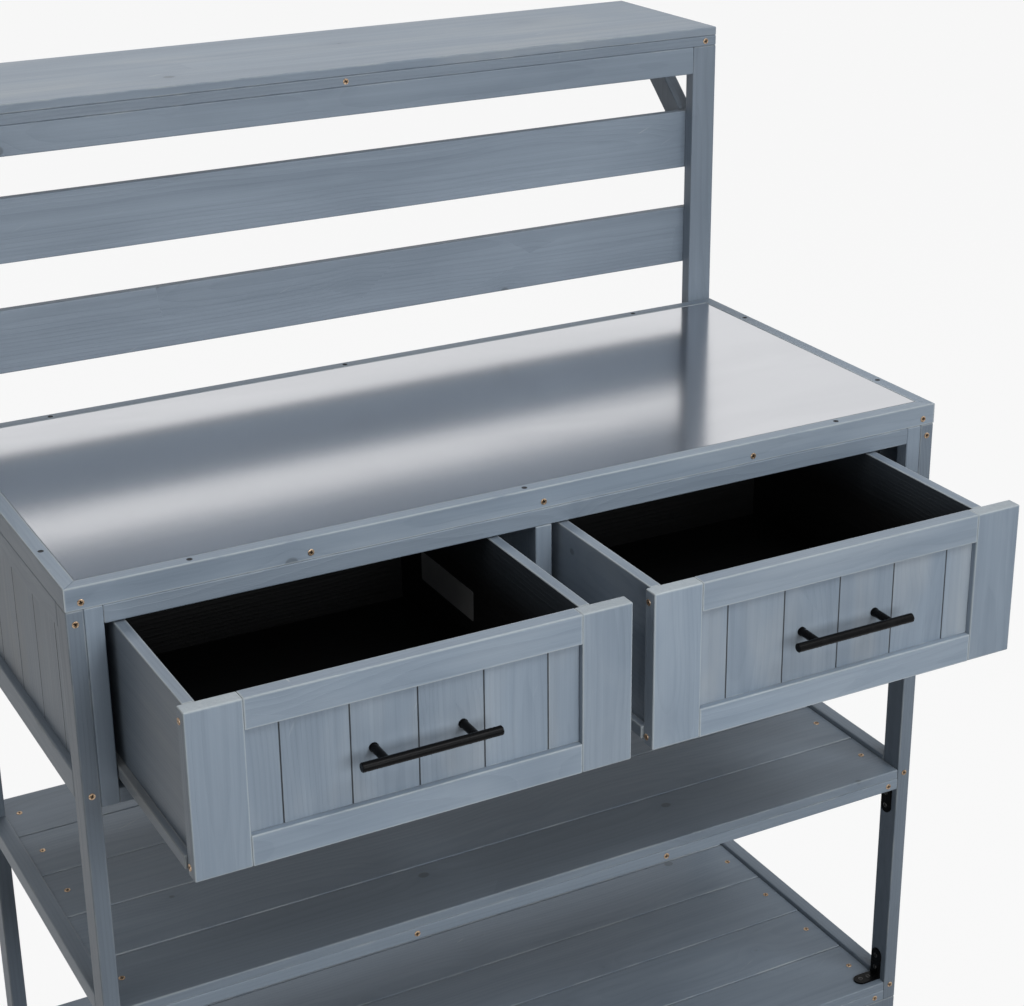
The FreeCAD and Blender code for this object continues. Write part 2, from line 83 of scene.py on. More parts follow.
def colour(red: float, green: float, blue: float) -> Colour:
    """Give an opaque linear colour."""
    return (red, green, blue, 1.0)


# ---------------------------------------------------------------- shader maths


class Val:
    """A number that varies over a surface: a node's output that takes part in Python expressions."""

    def __init__(self, shade: "Shade", socket: bpy.types.NodeSocket) -> None:
        """Wrap an output socket of the shade's tree."""
        self.shade = shade
        self.socket = socket

    def math(self, operation: str, *others: "Number", first: "Number | None" = None) -> "Val":
        """Add a Math node that works on this value.

        Args:
            operation: The Math node's operation.
            *others: The operands after this value.
            first: An operand that goes before this value, for a reflected operator.

        Returns:
            The node's result.
        """
        operands = ([] if first is None else [first]) + [self, *others]
        node = self.shade.add("ShaderNodeMath", {"operation": operation}, dict(enumerate(operands)))
        return Val(self.shade, node.outputs[0])

    def __add__(self, other: "Number") -> "Val":
        """Add."""
        return self.math("ADD", other)

    __radd__ = __add__

    def __sub__(self, other: "Number") -> "Val":
        """Subtract."""
        return self.math("SUBTRACT", other)

    def __rsub__(self, other: "Number") -> "Val":
        """Subtract this value from a number."""
        return self.math("SUBTRACT", first=other)

    def __mul__(self, other: "Number") -> "Val":
        """Multiply."""
        return self.math("MULTIPLY", other)

    __rmul__ = __mul__

    def __truediv__(self, other: "Number") -> "Val":
        """Divide."""
        return self.math("DIVIDE", other)

    def __rtruediv__(self, other: "Number") -> "Val":
        """Divide a number by this value."""
        return self.math("DIVIDE", first=other)

    def least(self, other: "Number") -> "Val":
        """Give the smaller of two values."""
        return self.math("MINIMUM", other)

    def most(self, other: "Number") -> "Val":
        """Give the larger of two values."""
        return self.math("MAXIMUM", other)

    def floor(self) -> "Val":
        """Round down."""
        return self.math("FLOOR")

    def root(self) -> "Val":
        """Give the square root."""
        return self.math("SQRT")

    def fraction(self) -> "Val":
        """Give the part after the point."""
        return self.math("FRACT")

    def exponent(self) -> "Val":
        """Give e to the power of this value."""
        return self.math("EXPONENT")

    def power(self, other: "Number") -> "Val":
        """Raise to a power."""
        return self.math("POWER", other)

    def rise(self, low: float, high: float) -> "Val":
        """Step smoothly from 0 at low to 1 at high."""
        values = {"Value": self, "From Min": low, "From Max": high}
        node = self.shade.add("ShaderNodeMapRange", {"interpolation_type": "SMOOTHSTEP"}, values)
        return Val(self.shade, node.outputs["Result"])

    def fall(self, low: float, high: float) -> "Val":
        """Step smoothly from 1 at low to 0 at high."""
        return 1 - self.rise(low, high)


Number = Union[Val, float, int]
Tint = Union[Colour, bpy.types.NodeSocket]


class Shade:
    """One node material in the making."""

    def __init__(self, name: str) -> None:
        """Start an empty node material.

        Args:
            name: The material's name.
        """
        self.material = bpy.data.materials.new(name)
        self.material.use_nodes = True
        self.tree = self.material.node_tree
        self.tree.nodes.clear()

    def add(
        self, kind: str, settings: Mapping[str, Any] | None = None, values: Mapping[Any, Any] | None = None
    ) -> bpy.types.Node:
        """Add one node.

        Args:
            kind: The node's type.
            settings: Its properties, set before its sockets; "stops" fills a ramp.
            values: Numbers, colours or links for its inputs, by index, identifier or name.

        Returns:
            The new node.
        """
        node = self.tree.nodes.new(kind)
        for key, value in (settings or {}).items():
            if key == "stops":
                self.fill_ramp(node.color_ramp, value)
            else:
                setattr(node, key, value)
        for key, value in (values or {}).items():
            self.feed(self.input_of(node, key), value)
        return node

    @staticmethod
    def fill_ramp(ramp: bpy.types.ColorRamp, stops: Sequence[tuple[float, Colour]]) -> None:
        """Give a ramp its stops, each a place and a colour."""
        while len(ramp.elements) < len(stops):
            ramp.elements.new(1.0)
        for element, (place, tint) in zip(ramp.elements, stops):
            element.position = place
            element.color = tint

    @staticmethod
    def input_of(node: bpy.types.Node, key: Any) -> bpy.types.NodeSocket:
        """Find a node's input by index, identifier or name."""
        if isinstance(key, int):
            return node.inputs[key]
        named = [item for item in node.inputs if key in (item.identifier, item.name)]
        return next((item for item in named if item.identifier == key), named[0])

    def feed(self, socket: bpy.types.NodeSocket, value: Any) -> None:
        """Link an input to a varying value, or set it to a plain one."""
        if isinstance(value, Val):
            value = value.socket
        if isinstance(value, bpy.types.NodeSocket):
            self.tree.links.new(value, socket)
        else:
            socket.default_value = value

    def place(self) -> tuple[Val, Val, Val]:
        """Give the surface point's three object coordinates."""
        point = self.add("ShaderNodeTexCoord").outputs["Object"]
        parts = self.add("ShaderNodeSeparateXYZ", values={0: point}).outputs
        return Val(self, parts[0]), Val(self, parts[1]), Val(self, parts[2])

    def vector(self, x: Number, y: Number, z: Number) -> bpy.types.NodeSocket:
        """Join three numbers into a vector."""
        return self.add("ShaderNodeCombineXYZ", values={0: x, 1: y, 2: z}).outputs[0]

    def noise(self, point: bpy.types.NodeSocket, scale: float, detail: float = 2.0, warp: float = 0.0) -> Val:
        """Give smooth noise from 0 to 1 at a point."""
        values = {"Vector": point, "Scale": scale, "Detail": detail, "Distortion": warp}
        return Val(self, self.add("ShaderNodeTexNoise", {"noise_dimensions": "3D"}, values).outputs[0])

    def chance(self, point: bpy.types.NodeSocket) -> tuple[Val, Val, Val]:
        """Give three random numbers from 0 to 1 that depend on a point alone."""
        dice = self.add("ShaderNodeTexWhiteNoise", {"noise_dimensions": "3D"}, {"Vector": point})
        parts = self.add("ShaderNodeSeparateColor", values={0: dice.outputs["Color"]}).outputs
        return Val(self, parts[0]), Val(self, parts[1]), Val(self, parts[2])

    def blend(self, factor: Number, first: Tint, second: Tint, mode: str = "MIX") -> bpy.types.NodeSocket:
        """Mix two colours; a factor of 0 leaves the first as it is."""
        settings = {"data_type": "RGBA", "blend_type": mode, "clamp_factor": True}
        values = {"Factor_Float": factor, "A_Color": first, "B_Color": second}
        outputs = self.add("ShaderNodeMix", settings, values).outputs
        return next(item for item in outputs if item.identifier == "Result_Color")

    def scaled(self, tint: Tint, factor: Number) -> bpy.types.NodeSocket:
        """Make a colour lighter or darker by a factor."""
        settings = {"operation": "SCALE"}
        return self.add("ShaderNodeVectorMath", settings, {0: tint, "Scale": factor}).outputs[0]

    def finish(self, surface: Mapping[str, Any], height: Val | None = None, depth: float = 0.0) -> bpy.types.Material:
        """Close the material with a Principled shader.

        Args:
            surface: Values or links for the shader's inputs, by name.
            height: A varying height from 0 to 1 for the bump.
            depth: How deep the bump is, in metres.

        Returns:
            The finished material.
        """
        shader = self.add("ShaderNodeBsdfPrincipled", values=surface)
        if height is not None:
            bump = self.add("ShaderNodeBump", values={"Distance": depth, "Height": height})
            self.tree.links.new(bump.outputs[0], shader.inputs["Normal"])
        output = self.add("ShaderNodeOutputMaterial")
        self.tree.links.new(shader.outputs[0], output.inputs[0])
        return self.material


# ---------------------------------------------------------------- finishes


@dataclass(frozen=True)
class Repeat:
    """Boards that repeat along one axis of their node's box.

    Attributes:
        axis: The axis they repeat along.
        count: How many there are.
        pitch: From one board's low side to the next one's, in metres.
        early: How far before the box the first board's cell starts.
        joined: Whether they meet edge to edge, which shows as a dark seam.
    """

    axis: Axis
    count: int
    pitch: float
    early: float = 0.0
    joined: bool = False


@dataclass(frozen=True)
class BoardLay:
    """How the boards of one node lie.

    Attributes:
        low: The node's lowest corner.
        high: Its highest corner.
        grain: The axis the fibres follow.
        repeats: Where the node holds several boards.
        seed: Sets its boards apart from those of other nodes.
    """

    low: Vec
    high: Vec
    grain: Axis
    repeats: tuple[Repeat, ...] = ()
    seed: float = 0.0

    @classmethod
    def of(cls, node: str, grain: Axis, *repeats: Repeat) -> "BoardLay":
        """Take a node's box from the frame, with a seed from its name."""
        low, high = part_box(node)
        seed = sum(ord(letter) * (place + 1) for place, letter in enumerate(node)) % 97
        return cls(tuple(low), tuple(high), grain, repeats, float(seed))


@dataclass
class Board:
    """The values that place a surface point on its own board.

    Attributes:
        local: Distance from the board's low corner along each axis.
        size: The board's size along each axis.
        chances: Three random numbers of the board's own.
        seam: 1 in a joint between boards that meet edge to edge.
    """

    local: list[Val]
    size: list[float]
    chances: tuple[Val, Val, Val]
    seam: Number

    @classmethod
    def under(cls, shade: Shade, lay: BoardLay) -> "Board":
        """Work out which board of a node a surface point is on.

        Args:
            shade: The material the values are for.
            lay: How the node's boards lie.

        Returns:
            The board's values.
        """
        local = [value - low for value, low in zip(shade.place(), lay.low)]
        size = [high - low for low, high in zip(lay.low, lay.high)]
        cells: list[Number] = [lay.seed, lay.seed * 0.37, lay.seed * 0.11]
        seam: Number = 0.0
        for repeat in lay.repeats:
            index = repeat.axis.value
            start = local[index] + repeat.early
            cell = (start / repeat.pitch).floor().most(0).least(repeat.count - 1)
            width = size[index] + repeat.early - repeat.pitch * (repeat.count - 1)
            local[index] = start - cell * repeat.pitch
            size[index] = repeat.pitch if repeat.joined else width
            cells[index] = cell * 3.7 + lay.seed
            if repeat.joined:
                edge = local[index].least(repeat.pitch - local[index])
                seam = edge.fall(0.5 * MM, 1.3 * MM)
        return cls(local, size, shade.chance(shade.vector(*cells)), seam)

    def edge(self) -> Val:
        """Give the distance to the board's nearest edge: the middle one of its three face distances."""
        x, y, z = (value.least(size - value) for value, size in zip(self.local, self.size))
        return x.least(y).most(x.most(y).least(z))


@dataclass(frozen=True)
class StainedWood:
    """Grey-blue stain on softwood: soft rings, fine fibres, knots, cloudy stain and pale worn edges.

    Attributes:
        tone: Lightness against the usual stain.
        wear: How much of the edges is rubbed pale.
        knots: Share of places that hold a knot.
        scuffs: Strength of the pale scratches.
        brown: How far the bare wood shows through, from 0 to 1.
        mottle: How cloudy the stain is.
    """

    tone: float = 1.0
    wear: float = 0.5
    knots: float = 0.35
    scuffs: float = 0.4
    brown: float = 0.0
    mottle: float = 1.0
    deep: Colour = colour(0.150, 0.187, 0.234)
    pale: Colour = colour(0.246, 0.295, 0.354)
    bare: Colour = colour(0.330, 0.322, 0.305)
    worn: Colour = colour(0.400, 0.430, 0.440)
    knot: Colour = colour(0.090, 0.110, 0.132)
    # The painted shade deep inside a drawer's hollow.
    black: Colour = colour(0.0012, 0.0013, 0.0015)

    def material(self, name: str, lay: BoardLay, cavity: "Cavity | None" = None) -> bpy.types.Material:
        """Make the stained wood for one node.

        Args:
            name: The material's name.
            lay: How the node's boards lie.
            cavity: A hollow whose faces take a near-black painted shade, if the node has any.

        Returns:
            The material.
        """
        shade = Shade(name)
        board = Board.under(shade, lay)
        along = lay.grain.value
        across = [index for index in range(3) if index != along]
        wide = max(across, key=lambda index: board.size[index])
        thin = min(across, key=lambda index: board.size[index])
        first, second, third = board.chances
        run = board.local[along] + first * 9.0
        u = board.local[wide] - board.size[wide] * 0.5 + second * 0.6
        v = board.local[thin] + third * 0.5
        point = shade.vector(run, u, v)

        knot_far, knot_size, knot_here = self.knot_field(shade, run, u, v)
        swirl = (knot_far * -55.0).exponent() * knot_here
        rings = self.rings(shade, board, run, wide, thin, swirl)
        late = rings.fraction().rise(0.35, 0.95) * rings.fraction().fall(0.94, 1.0)
        fibre = shade.noise(shade.vector(run * 9.0, u * 620.0, v * 620.0), 1.0, 3.0)
        streak = shade.noise(shade.vector(run * 1.6, u * 85.0, v * 85.0), 1.0, 3.0)
        cloud = shade.noise(shade.vector(run * 3.2, u * 11.0, v * 11.0), 1.0, 4.0, 0.6)

        light = 0.5 + (cloud - 0.5) * (1.2 * self.mottle) + (streak - 0.5) * 0.75 + (fibre - 0.5) * 0.35
        tint = shade.blend((light - late * 0.13).most(0).least(1), self.deep, self.pale)
        bare = (cloud.rise(0.42, 0.72) * self.brown * (0.35 + streak)).least(1)
        tint = shade.blend(bare, tint, self.bare)
        tint = shade.blend((swirl * 0.75).least(1), tint, self.deep)
        core = (knot_size - knot_far).rise(-1.2 * MM, 1.0 * MM) * knot_here
        tint = shade.blend(core * 0.8, tint, self.knot)

        ends = board.local[along].least(board.size[along] - board.local[along]).fall(0.3 * MM, 1.0 * MM)
        rough_end = shade.noise(shade.vector(run * 2.0, u * 240.0, v * 120.0), 1.0, 2.0, 1.5)
        tint = shade.blend(ends * (0.25 + rough_end * 0.5), tint, self.worn)
        rub = shade.noise(point, 26.0, 4.0) * 0.7 + streak * 0.3
        edge = board.edge()
        worn = edge.fall(0.7 * MM, 2.4 * MM) * rub.rise(0.62 - 0.3 * self.wear, 0.86 - 0.3 * self.wear)
        tint = shade.blend((worn * 0.5).least(1), tint, self.worn)
        scratch = self.scratches(shade, run, u, v)
        tint = shade.blend((scratch * self.scuffs).least(1), tint, self.worn)
        tint = shade.scaled(tint, (0.92 + first * 0.16) * self.tone * (1 - board.seam * 0.82))
        # Painted shade: faces inside a drawer's hollow turn to a dim copy of the stain at the rim and to near black
        # from 70 mm down, for the shade inside the drawer.
        if cavity is not None:
            painted_shade = shade.blend(cavity.depth(shade), shade.scaled(tint, 0.16), self.black)
            tint = shade.blend(cavity.inside(shade), tint, painted_shade)

        rough = 0.5 + (fibre - 0.5) * 0.25 + worn * 0.15 + (cloud - 0.5) * 0.12
        height = fibre * 0.35 + streak * 0.3 + late * 0.25 + core * 0.4
        surface = {"Base Color": tint, "Roughness": rough, "Specular IOR Level": 0.42}
        return shade.finish(surface, height, 0.35 * MM)

    def knot_field(self, shade: Shade, run: Val, u: Val, v: Val) -> tuple[Val, Val, Val]:
        """Scatter knots over the wood.

        Args:
            shade: The material.
            run: Place along the grain.
            u: Place across the board.
            v: Place through the board.

        Returns:
            The distance to the nearest knot, that knot's radius, and whether it is there.
        """
        stretch = (4.2, 13.0, 13.0)
        spread = shade.vector(run * stretch[0], u * stretch[1], v * stretch[2])
        cells = shade.add("ShaderNodeTexVoronoi", {"feature": "F1"}, {"Vector": spread, "Scale": 1.0})
        middle = shade.add("ShaderNodeSeparateXYZ", values={0: cells.outputs["Position"]}).outputs
        near = [Val(shade, middle[index]) / stretch[index] for index in range(3)]
        gaps = (near[0] - run) * 0.8, near[1] - u, (near[2] - v) * 0.25
        far = (gaps[0] * gaps[0] + gaps[1] * gaps[1] + gaps[2] * gaps[2]).root()
        dice = shade.add("ShaderNodeSeparateColor", values={0: cells.outputs["Color"]}).outputs
        here = Val(shade, dice[0]).math("LESS_THAN", self.knots)
        return far, Val(shade, dice[1]) * (4.2 * MM) + 1.8 * MM, here

    @staticmethod
    def rings(shade: Shade, board: Board, run: Val, wide: int, thin: int, swirl: Val) -> Val:
        """Count the year rings from a pith that wanders beside the board.

        Args:
            shade: The material.
            board: The board's values.
            run: Place along the grain.
            wide: The axis across the board.
            thin: The axis through the board.
            swirl: How near a knot is, which bends the rings round it.

        Returns:
            The ring number, with its fraction.
        """
        wander = shade.noise(shade.vector(run * 1.9, board.chances[1] * 40.0, 0.0), 1.0, 2.0) - 0.5
        sideways = board.local[wide] - board.size[wide] * board.chances[1] + wander * 0.055
        below = board.local[thin] + 0.012 + board.chances[2] * 0.05 + wander * 0.03
        wave = shade.noise(shade.vector(run * 11.0, sideways * 45.0, below * 45.0), 1.0, 2.0) - 0.5
        return (sideways * sideways + below * below).root() / (4.6 * MM) + wave * 0.7 + swirl * 2.5

    @staticmethod
    def scratches(shade: Shade, run: Val, u: Val, v: Val) -> Val:
        """Draw sparse thin pale scratches that run aslant."""
        line = shade.noise(shade.vector(run * 9.0 + u * 16.0, u * 260.0 - run * 120.0, v * 40.0), 1.0, 1.0)
        where = shade.noise(shade.vector(run * 7.0, u * 15.0, v * 15.0), 1.0, 1.0)
        return line.rise(0.72, 0.80) * where.rise(0.60, 0.75)


@dataclass(frozen=True)
class Cavity:
    """The hollow of a drawer, whose faces take a near-black painted shade.

    Attributes:
        low: Its lowest corner.
        high: Its highest corner.
        soft: How gently the painted shade ends, in metres.
    """

    low: Vec
    high: Vec
    soft: float = 0.4 * MM

    def inside(self, shade: Shade) -> Val:
        """Give 1 on surfaces of the hollow and 0 outside it."""
        mask: Number = 1.0
        for value, low, high in zip(shade.place(), self.low, self.high):
            mask = value.rise(low - self.soft, low) * value.fall(high, high + self.soft) * mask
        return mask

    def depth(self, shade: Shade) -> Val:
        """Give 0 near the hollow's rim and 1 from 70 mm below it, where the painted shade has turned fully black."""
        return shade.place()[Axis.Z.value].fall(self.high[2] - 0.07, self.high[2])


@dataclass(frozen=True)
class PaintedShade:
    """Near-black painted shade, for the drawers' floors and the worktop's screw holes, barely showing the wood's
    fibres.

    Attributes:
        tint: The painted shade's colour.
        soft: The lighter colour it takes in places.
    """

    tint: Colour = colour(0.0010, 0.0011, 0.0013)
    soft: Colour = colour(0.0022, 0.0024, 0.0028)

    def material(self, name: str, grain: Axis) -> bpy.types.Material:
        """Make the painted shade with its fibres along an axis."""
        shade = Shade(name)
        parts = list(shade.place())
        stretch = [300.0, 300.0, 300.0]
        stretch[grain.value] = 6.0
        point = shade.vector(*(part * scale for part, scale in zip(parts, stretch)))
        fibre = shade.noise(point, 1.0, 3.0)
        cloud = shade.noise(shade.vector(*parts), 9.0, 3.0)
        tint = shade.blend((fibre * 0.6 + cloud * 0.4).rise(0.35, 0.75), self.tint, self.soft)
        surface = {"Base Color": tint, "Roughness": 0.62 + fibre * 0.2, "Specular IOR Level": 0.15}
        return shade.finish(surface, fibre, 0.2 * MM)


@dataclass(frozen=True)
class RawWood:
    """Pale unfinished softwood."""

    pale: Colour = colour(0.40, 0.36, 0.29)
    dark: Colour = colour(0.24, 0.21, 0.17)

    def material(self, name: str, grain: Axis) -> bpy.types.Material:
        """Make the raw wood with its fibres along an axis."""
        shade = Shade(name)
        parts = list(shade.place())
        fine = [500.0, 500.0, 500.0]
        broad = [60.0, 60.0, 60.0]
        fine[grain.value] = 8.0
        broad[grain.value] = 2.0
        fibre = shade.noise(shade.vector(*(part * scale for part, scale in zip(parts, fine))), 1.0, 3.0)
        streak = shade.noise(shade.vector(*(part * scale for part, scale in zip(parts, broad))), 1.0, 3.0)
        tint = shade.blend((fibre * 0.4 + streak * 0.6).rise(0.3, 0.7), self.dark, self.pale)
        surface = {"Base Color": tint, "Roughness": 0.7 + fibre * 0.15, "Specular IOR Level": 0.3}
        return shade.finish(surface, fibre * 0.6 + streak * 0.4, 0.3 * MM)


@dataclass(frozen=True)
class BrushedSheet:
    """Dull zinc-coated steel, faintly brushed along the bench, with soft smears."""

    tint: Colour = colour(0.60, 0.61, 0.64)
    smear: Colour = colour(0.55, 0.56, 0.59)

    def material(self, name: str) -> bpy.types.Material:
        """Make the sheet's metal."""
        shade = Shade(name)
        x, y, z = shade.place()
        brush = shade.noise(shade.vector(x * 14.0, y * 1500.0, z * 20.0), 1.0, 2.0)
        smear = shade.noise(shade.vector(x * 3.0, y * 7.0, z), 1.0, 4.0, 0.8)
        spots = shade.noise(shade.vector(x, y, z), 260.0, 2.0).rise(0.70, 0.80)
        tint = shade.blend(smear.rise(0.35, 0.7) * 0.7 + spots * 0.3, self.tint, self.smear)
        rough = 0.115 + brush * 0.03 + smear * 0.04
        surface = {"Base Color": tint, "Metallic": 1.0, "Roughness": rough}
        return shade.finish(surface, brush, 0.012 * MM)


@dataclass(frozen=True)
class SatinBlack:
    """Black powder coat with a fine orange-peel skin and faint dust."""

    tint: Colour = colour(0.0030, 0.0030, 0.0034)
    dust: Colour = colour(0.0075, 0.0075, 0.0080)

    def material(self, name: str) -> bpy.types.Material:
        """Make the coat."""
        shade = Shade(name)
        point = shade.vector(*shade.place())
        peel = shade.noise(point, 900.0, 2.0)
        dust = shade.noise(point, 60.0, 4.0)
        tint = shade.blend(dust.rise(0.5, 0.8), self.tint, self.dust)
        surface = {"Base Color": tint, "Roughness": 0.22 + dust * 0.10, "Specular IOR Level": 0.06}
        return shade.finish(surface, peel, 0.04 * MM)


@dataclass(frozen=True)
class PlatedSteel:
    """Plated screw steel, tarnished in patches.

    Attributes:
        tint: The plating's colour.
        tarnish: The colour where it has dulled.
        pit: Painted shade in the cross slot, the colour where the attribute "sunk" marks it.
        metal: How metallic it is.
    """

    tint: Colour = colour(0.55, 0.40, 0.27)
    tarnish: Colour = colour(0.20, 0.13, 0.08)
    # Painted shade for the cross slot's recess.
    pit: Colour = colour(0.012, 0.010, 0.009)
    metal: float = 1.0

    def material(self, name: str) -> bpy.types.Material:
        """Make the plating."""
        shade = Shade(name)
        point = shade.vector(*shade.place())
        patch = shade.noise(point, 420.0, 3.0)
        sunk = Val(shade, shade.add("ShaderNodeAttribute", {"attribute_name": "sunk"}).outputs["Fac"])
        tint = shade.blend(patch.rise(0.4, 0.65), self.tint, self.tarnish)
        # Painted shade: the cross slot fully, and the face round it by half, darken to the pit colour.
        tint = shade.blend(sunk, tint, self.pit)
        surface = {"Base Color": tint, "Metallic": self.metal, "Roughness": 0.34 + patch * 0.2}
        return shade.finish(surface, patch, 0.05 * MM)


@dataclass(frozen=True)
class BlankPaper:
    """A plain grey label's coated paper."""

    tint: Colour = colour(0.30, 0.30, 0.30)
    shaded: Colour = colour(0.26, 0.26, 0.265)

    def material(self, name: str) -> bpy.types.Material:
        """Make the paper."""
        shade = Shade(name)
        point = shade.vector(*shade.place())
        weave = shade.noise(point, 700.0, 3.0)
        cloud = shade.noise(point, 30.0, 2.0)
        tint = shade.blend(cloud.rise(0.3, 0.7), self.tint, self.shaded)
        surface = {"Base Color": tint, "Roughness": 0.42 + weave * 0.1, "Specular IOR Level": 0.5}
        return shade.finish(surface, weave, 0.03 * MM)


# ---------------------------------------------------------------- mesh and scatter helpers


def keep_mesh(name: str, mesh: bpy.types.Mesh, material: bpy.types.Material, body: str) -> bpy.types.Object:
    """Show a mesh as one piece of the bench.

    Args:
        name: The piece's name.
        mesh: Its mesh, already in place.
        material: Its finish.
        body: The body it moves with.

    Returns:
        The new object.
    """
    mesh.materials.clear()
    mesh.materials.append(material)
    piece = bpy.data.objects.new(name, mesh)
    bpy.context.scene.collection.objects.link(piece)
    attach(piece, body)
    LOG.info("%s: %d faces on %s", name, len(mesh.polygons), body)
    return piece


def mesh_of(form: bmesh.types.BMesh, name: str, smooth_angle: float = 0.6) -> bpy.types.Mesh:
    """Turn a bmesh into a mesh, with outward faces and smooth shading below an angle in radians."""
    bmesh.ops.remove_doubles(form, verts=form.verts, dist=1e-6)
    bmesh.ops.recalc_face_normals(form, faces=form.faces)
    for face in form.faces:
        face.smooth = True
    for edge in form.edges:
        edge.smooth = len(edge.link_faces) == 2 and edge.calc_face_angle(0.0) < smooth_angle
    mesh = bpy.data.meshes.new(name)
    form.to_mesh(mesh)
    form.free()
    return mesh


def add_rod(form: bmesh.types.BMesh, start: Vec, end: Vec, profile: Sequence[tuple[float, float]], sides: int) -> None:
    """Add a turned rod.

    Args:
        form: The bmesh it joins.
        start: One end of its axis.
        end: The other end.
        profile: From start to end, pairs of share of the length and radius.
        sides: Number of sides.
    """
    low, high = Vector(start), Vector(end)
    turn = (high - low).to_track_quat("Z", "Y").to_matrix()
    rings = []
    for share, radius in profile:
        middle = low.lerp(high, share)
        angles = [2 * math.pi * side / sides for side in range(sides)]
        corners = [turn @ Vector((math.cos(angle) * radius, math.sin(angle) * radius, 0)) for angle in angles]
        rings.append([form.verts.new(middle + corner) for corner in corners])
    for ring, after in zip(rings, rings[1:]):
        for side in range(sides):
            other = (side + 1) % sides
            form.faces.new((ring[side], ring[other], after[other], after[side]))
    form.faces.new(list(reversed(rings[0])))
    form.faces.new(rings[-1])


@dataclass(frozen=True)
class Spot:
    """Where a small fixing sits: the middle of its seat and the way it faces."""

    seat: Vec
    facing: Vec


@dataclass
class Scatter:
    """A geometry tree that seats a copy of a small shape on each marked point, turned at random."""

    name: str = "seat_copies"

    def socket(self, tree: bpy.types.GeometryNodeTree, name: str, kind: str) -> str:
        """Add a named input to the tree and give its identifier."""
        return tree.interface.new_socket(name, in_out="INPUT", socket_type=kind).identifier

    def build(self) -> tuple[bpy.types.GeometryNodeTree, dict[str, str]]:
        """Build the tree.

        Returns:
            The tree, and its inputs' identifiers by name.
        """
        tree = bpy.data.node_groups.new(self.name, "GeometryNodeTree")
        kinds = {
            "Points": "NodeSocketGeometry",
            "Shape": "NodeSocketObject",
            "Size": "NodeSocketFloat",
            "Turn": "NodeSocketFloat",
            "Seed": "NodeSocketInt",
            "Finish": "NodeSocketMaterial",
        }
        inputs = {name: self.socket(tree, name, kind) for name, kind in kinds.items()}
        tree.interface.new_socket("Geometry", in_out="OUTPUT", socket_type="NodeSocketGeometry")
        entry = tree.nodes.new("NodeGroupInput")
        leave = tree.nodes.new("NodeGroupOutput")
        facing = tree.nodes.new("GeometryNodeInputNamedAttribute")
        facing.data_type = "FLOAT_VECTOR"
        facing.inputs["Name"].default_value = "facing"
        upright = tree.nodes.new("FunctionNodeAlignRotationToVector")
        upright.axis = "Z"
        dice = tree.nodes.new("FunctionNodeRandomValue")
        dice.data_type = "FLOAT"
        spin = tree.nodes.new("FunctionNodeAxisAngleToRotation")
        spin.inputs["Axis"].default_value = (0, 0, 1)
        turned = tree.nodes.new("FunctionNodeRotateRotation")
        turned.rotation_space = "LOCAL"
        shape = tree.nodes.new("GeometryNodeObjectInfo")
        copies = tree.nodes.new("GeometryNodeInstanceOnPoints")
        real = tree.nodes.new("GeometryNodeRealizeInstances")
        dress = tree.nodes.new("GeometryNodeSetMaterial")
        size = tree.nodes.new("ShaderNodeCombineXYZ")
        least = next(item for item in dice.inputs if item.identifier == "Min_001")
        most = next(item for item in dice.inputs if item.identifier == "Max_001")
        least.default_value = 0.0
        angle = next(item for item in dice.outputs if item.identifier == "Value_001")
        vector = next(item for item in facing.outputs if item.name == "Attribute" and item.enabled)
        links = (
            (entry.outputs["Points"], copies.inputs["Points"]),
            (entry.outputs["Shape"], shape.inputs["Object"]),
            (entry.outputs["Turn"], most),
            (entry.outputs["Seed"], dice.inputs["Seed"]),
            (entry.outputs["Finish"], dress.inputs["Material"]),
            (entry.outputs["Size"], size.inputs[0]),
            (entry.outputs["Size"], size.inputs[1]),
            (entry.outputs["Size"], size.inputs[2]),
            (vector, upright.inputs["Vector"]),
            (angle, spin.inputs["Angle"]),
            (upright.outputs[0], turned.inputs[0]),
            (spin.outputs[0], turned.inputs[1]),
            (turned.outputs[0], copies.inputs["Rotation"]),
            (size.outputs[0], copies.inputs["Scale"]),
            (shape.outputs["Geometry"], copies.inputs["Instance"]),
            (copies.outputs[0], real.inputs[0]),
            (real.outputs[0], dress.inputs["Geometry"]),
            (dress.outputs[0], leave.inputs[0]),
        )
        for source, target in links:
            tree.links.new(source, target)
        return tree, inputs

    def mesh(
        self, name: str, spots: Sequence[Spot], shape: bpy.types.Mesh, material: bpy.types.Material, seed: int
    ) -> bpy.types.Mesh:
        """Seat a shape on every spot and give the result as one plain mesh.

        Args:
            name: The mesh's name.
            spots: Where the copies go.
            shape: The shape, upright at the origin.
            material: Its finish.
            seed: Seed of the random turns.

        Returns:
            The mesh of all copies.
        """
        tree, inputs = self.build()
        points = bpy.data.meshes.new(f"{name}_points")
        points.from_pydata([spot.seat for spot in spots], [], [])
        facing = points.attributes.new("facing", "FLOAT_VECTOR", "POINT")
        for entry, spot in zip(facing.data, spots):
            entry.vector = spot.facing
        holder = bpy.data.objects.new(f"{name}_points", points)
        pattern = bpy.data.objects.new(f"{name}_pattern", shape)
        for item in (holder, pattern):
            bpy.context.scene.collection.objects.link(item)
        modifier = holder.modifiers.new("seat", "NODES")
        modifier.node_group = tree
        values = {"Shape": pattern, "Size": 1.0, "Turn": 2 * math.pi, "Seed": seed, "Finish": material}
        for key, value in values.items():
            modifier[inputs[key]] = value
        graph = bpy.context.evaluated_depsgraph_get()
        graph.update()
        mesh = bpy.data.meshes.new_from_object(holder.evaluated_get(graph))
        mesh.name = name
        holder.modifiers.clear()
        bpy.data.objects.remove(holder)
        bpy.data.objects.remove(pattern)
        return mesh


# ---------------------------------------------------------------- fixings


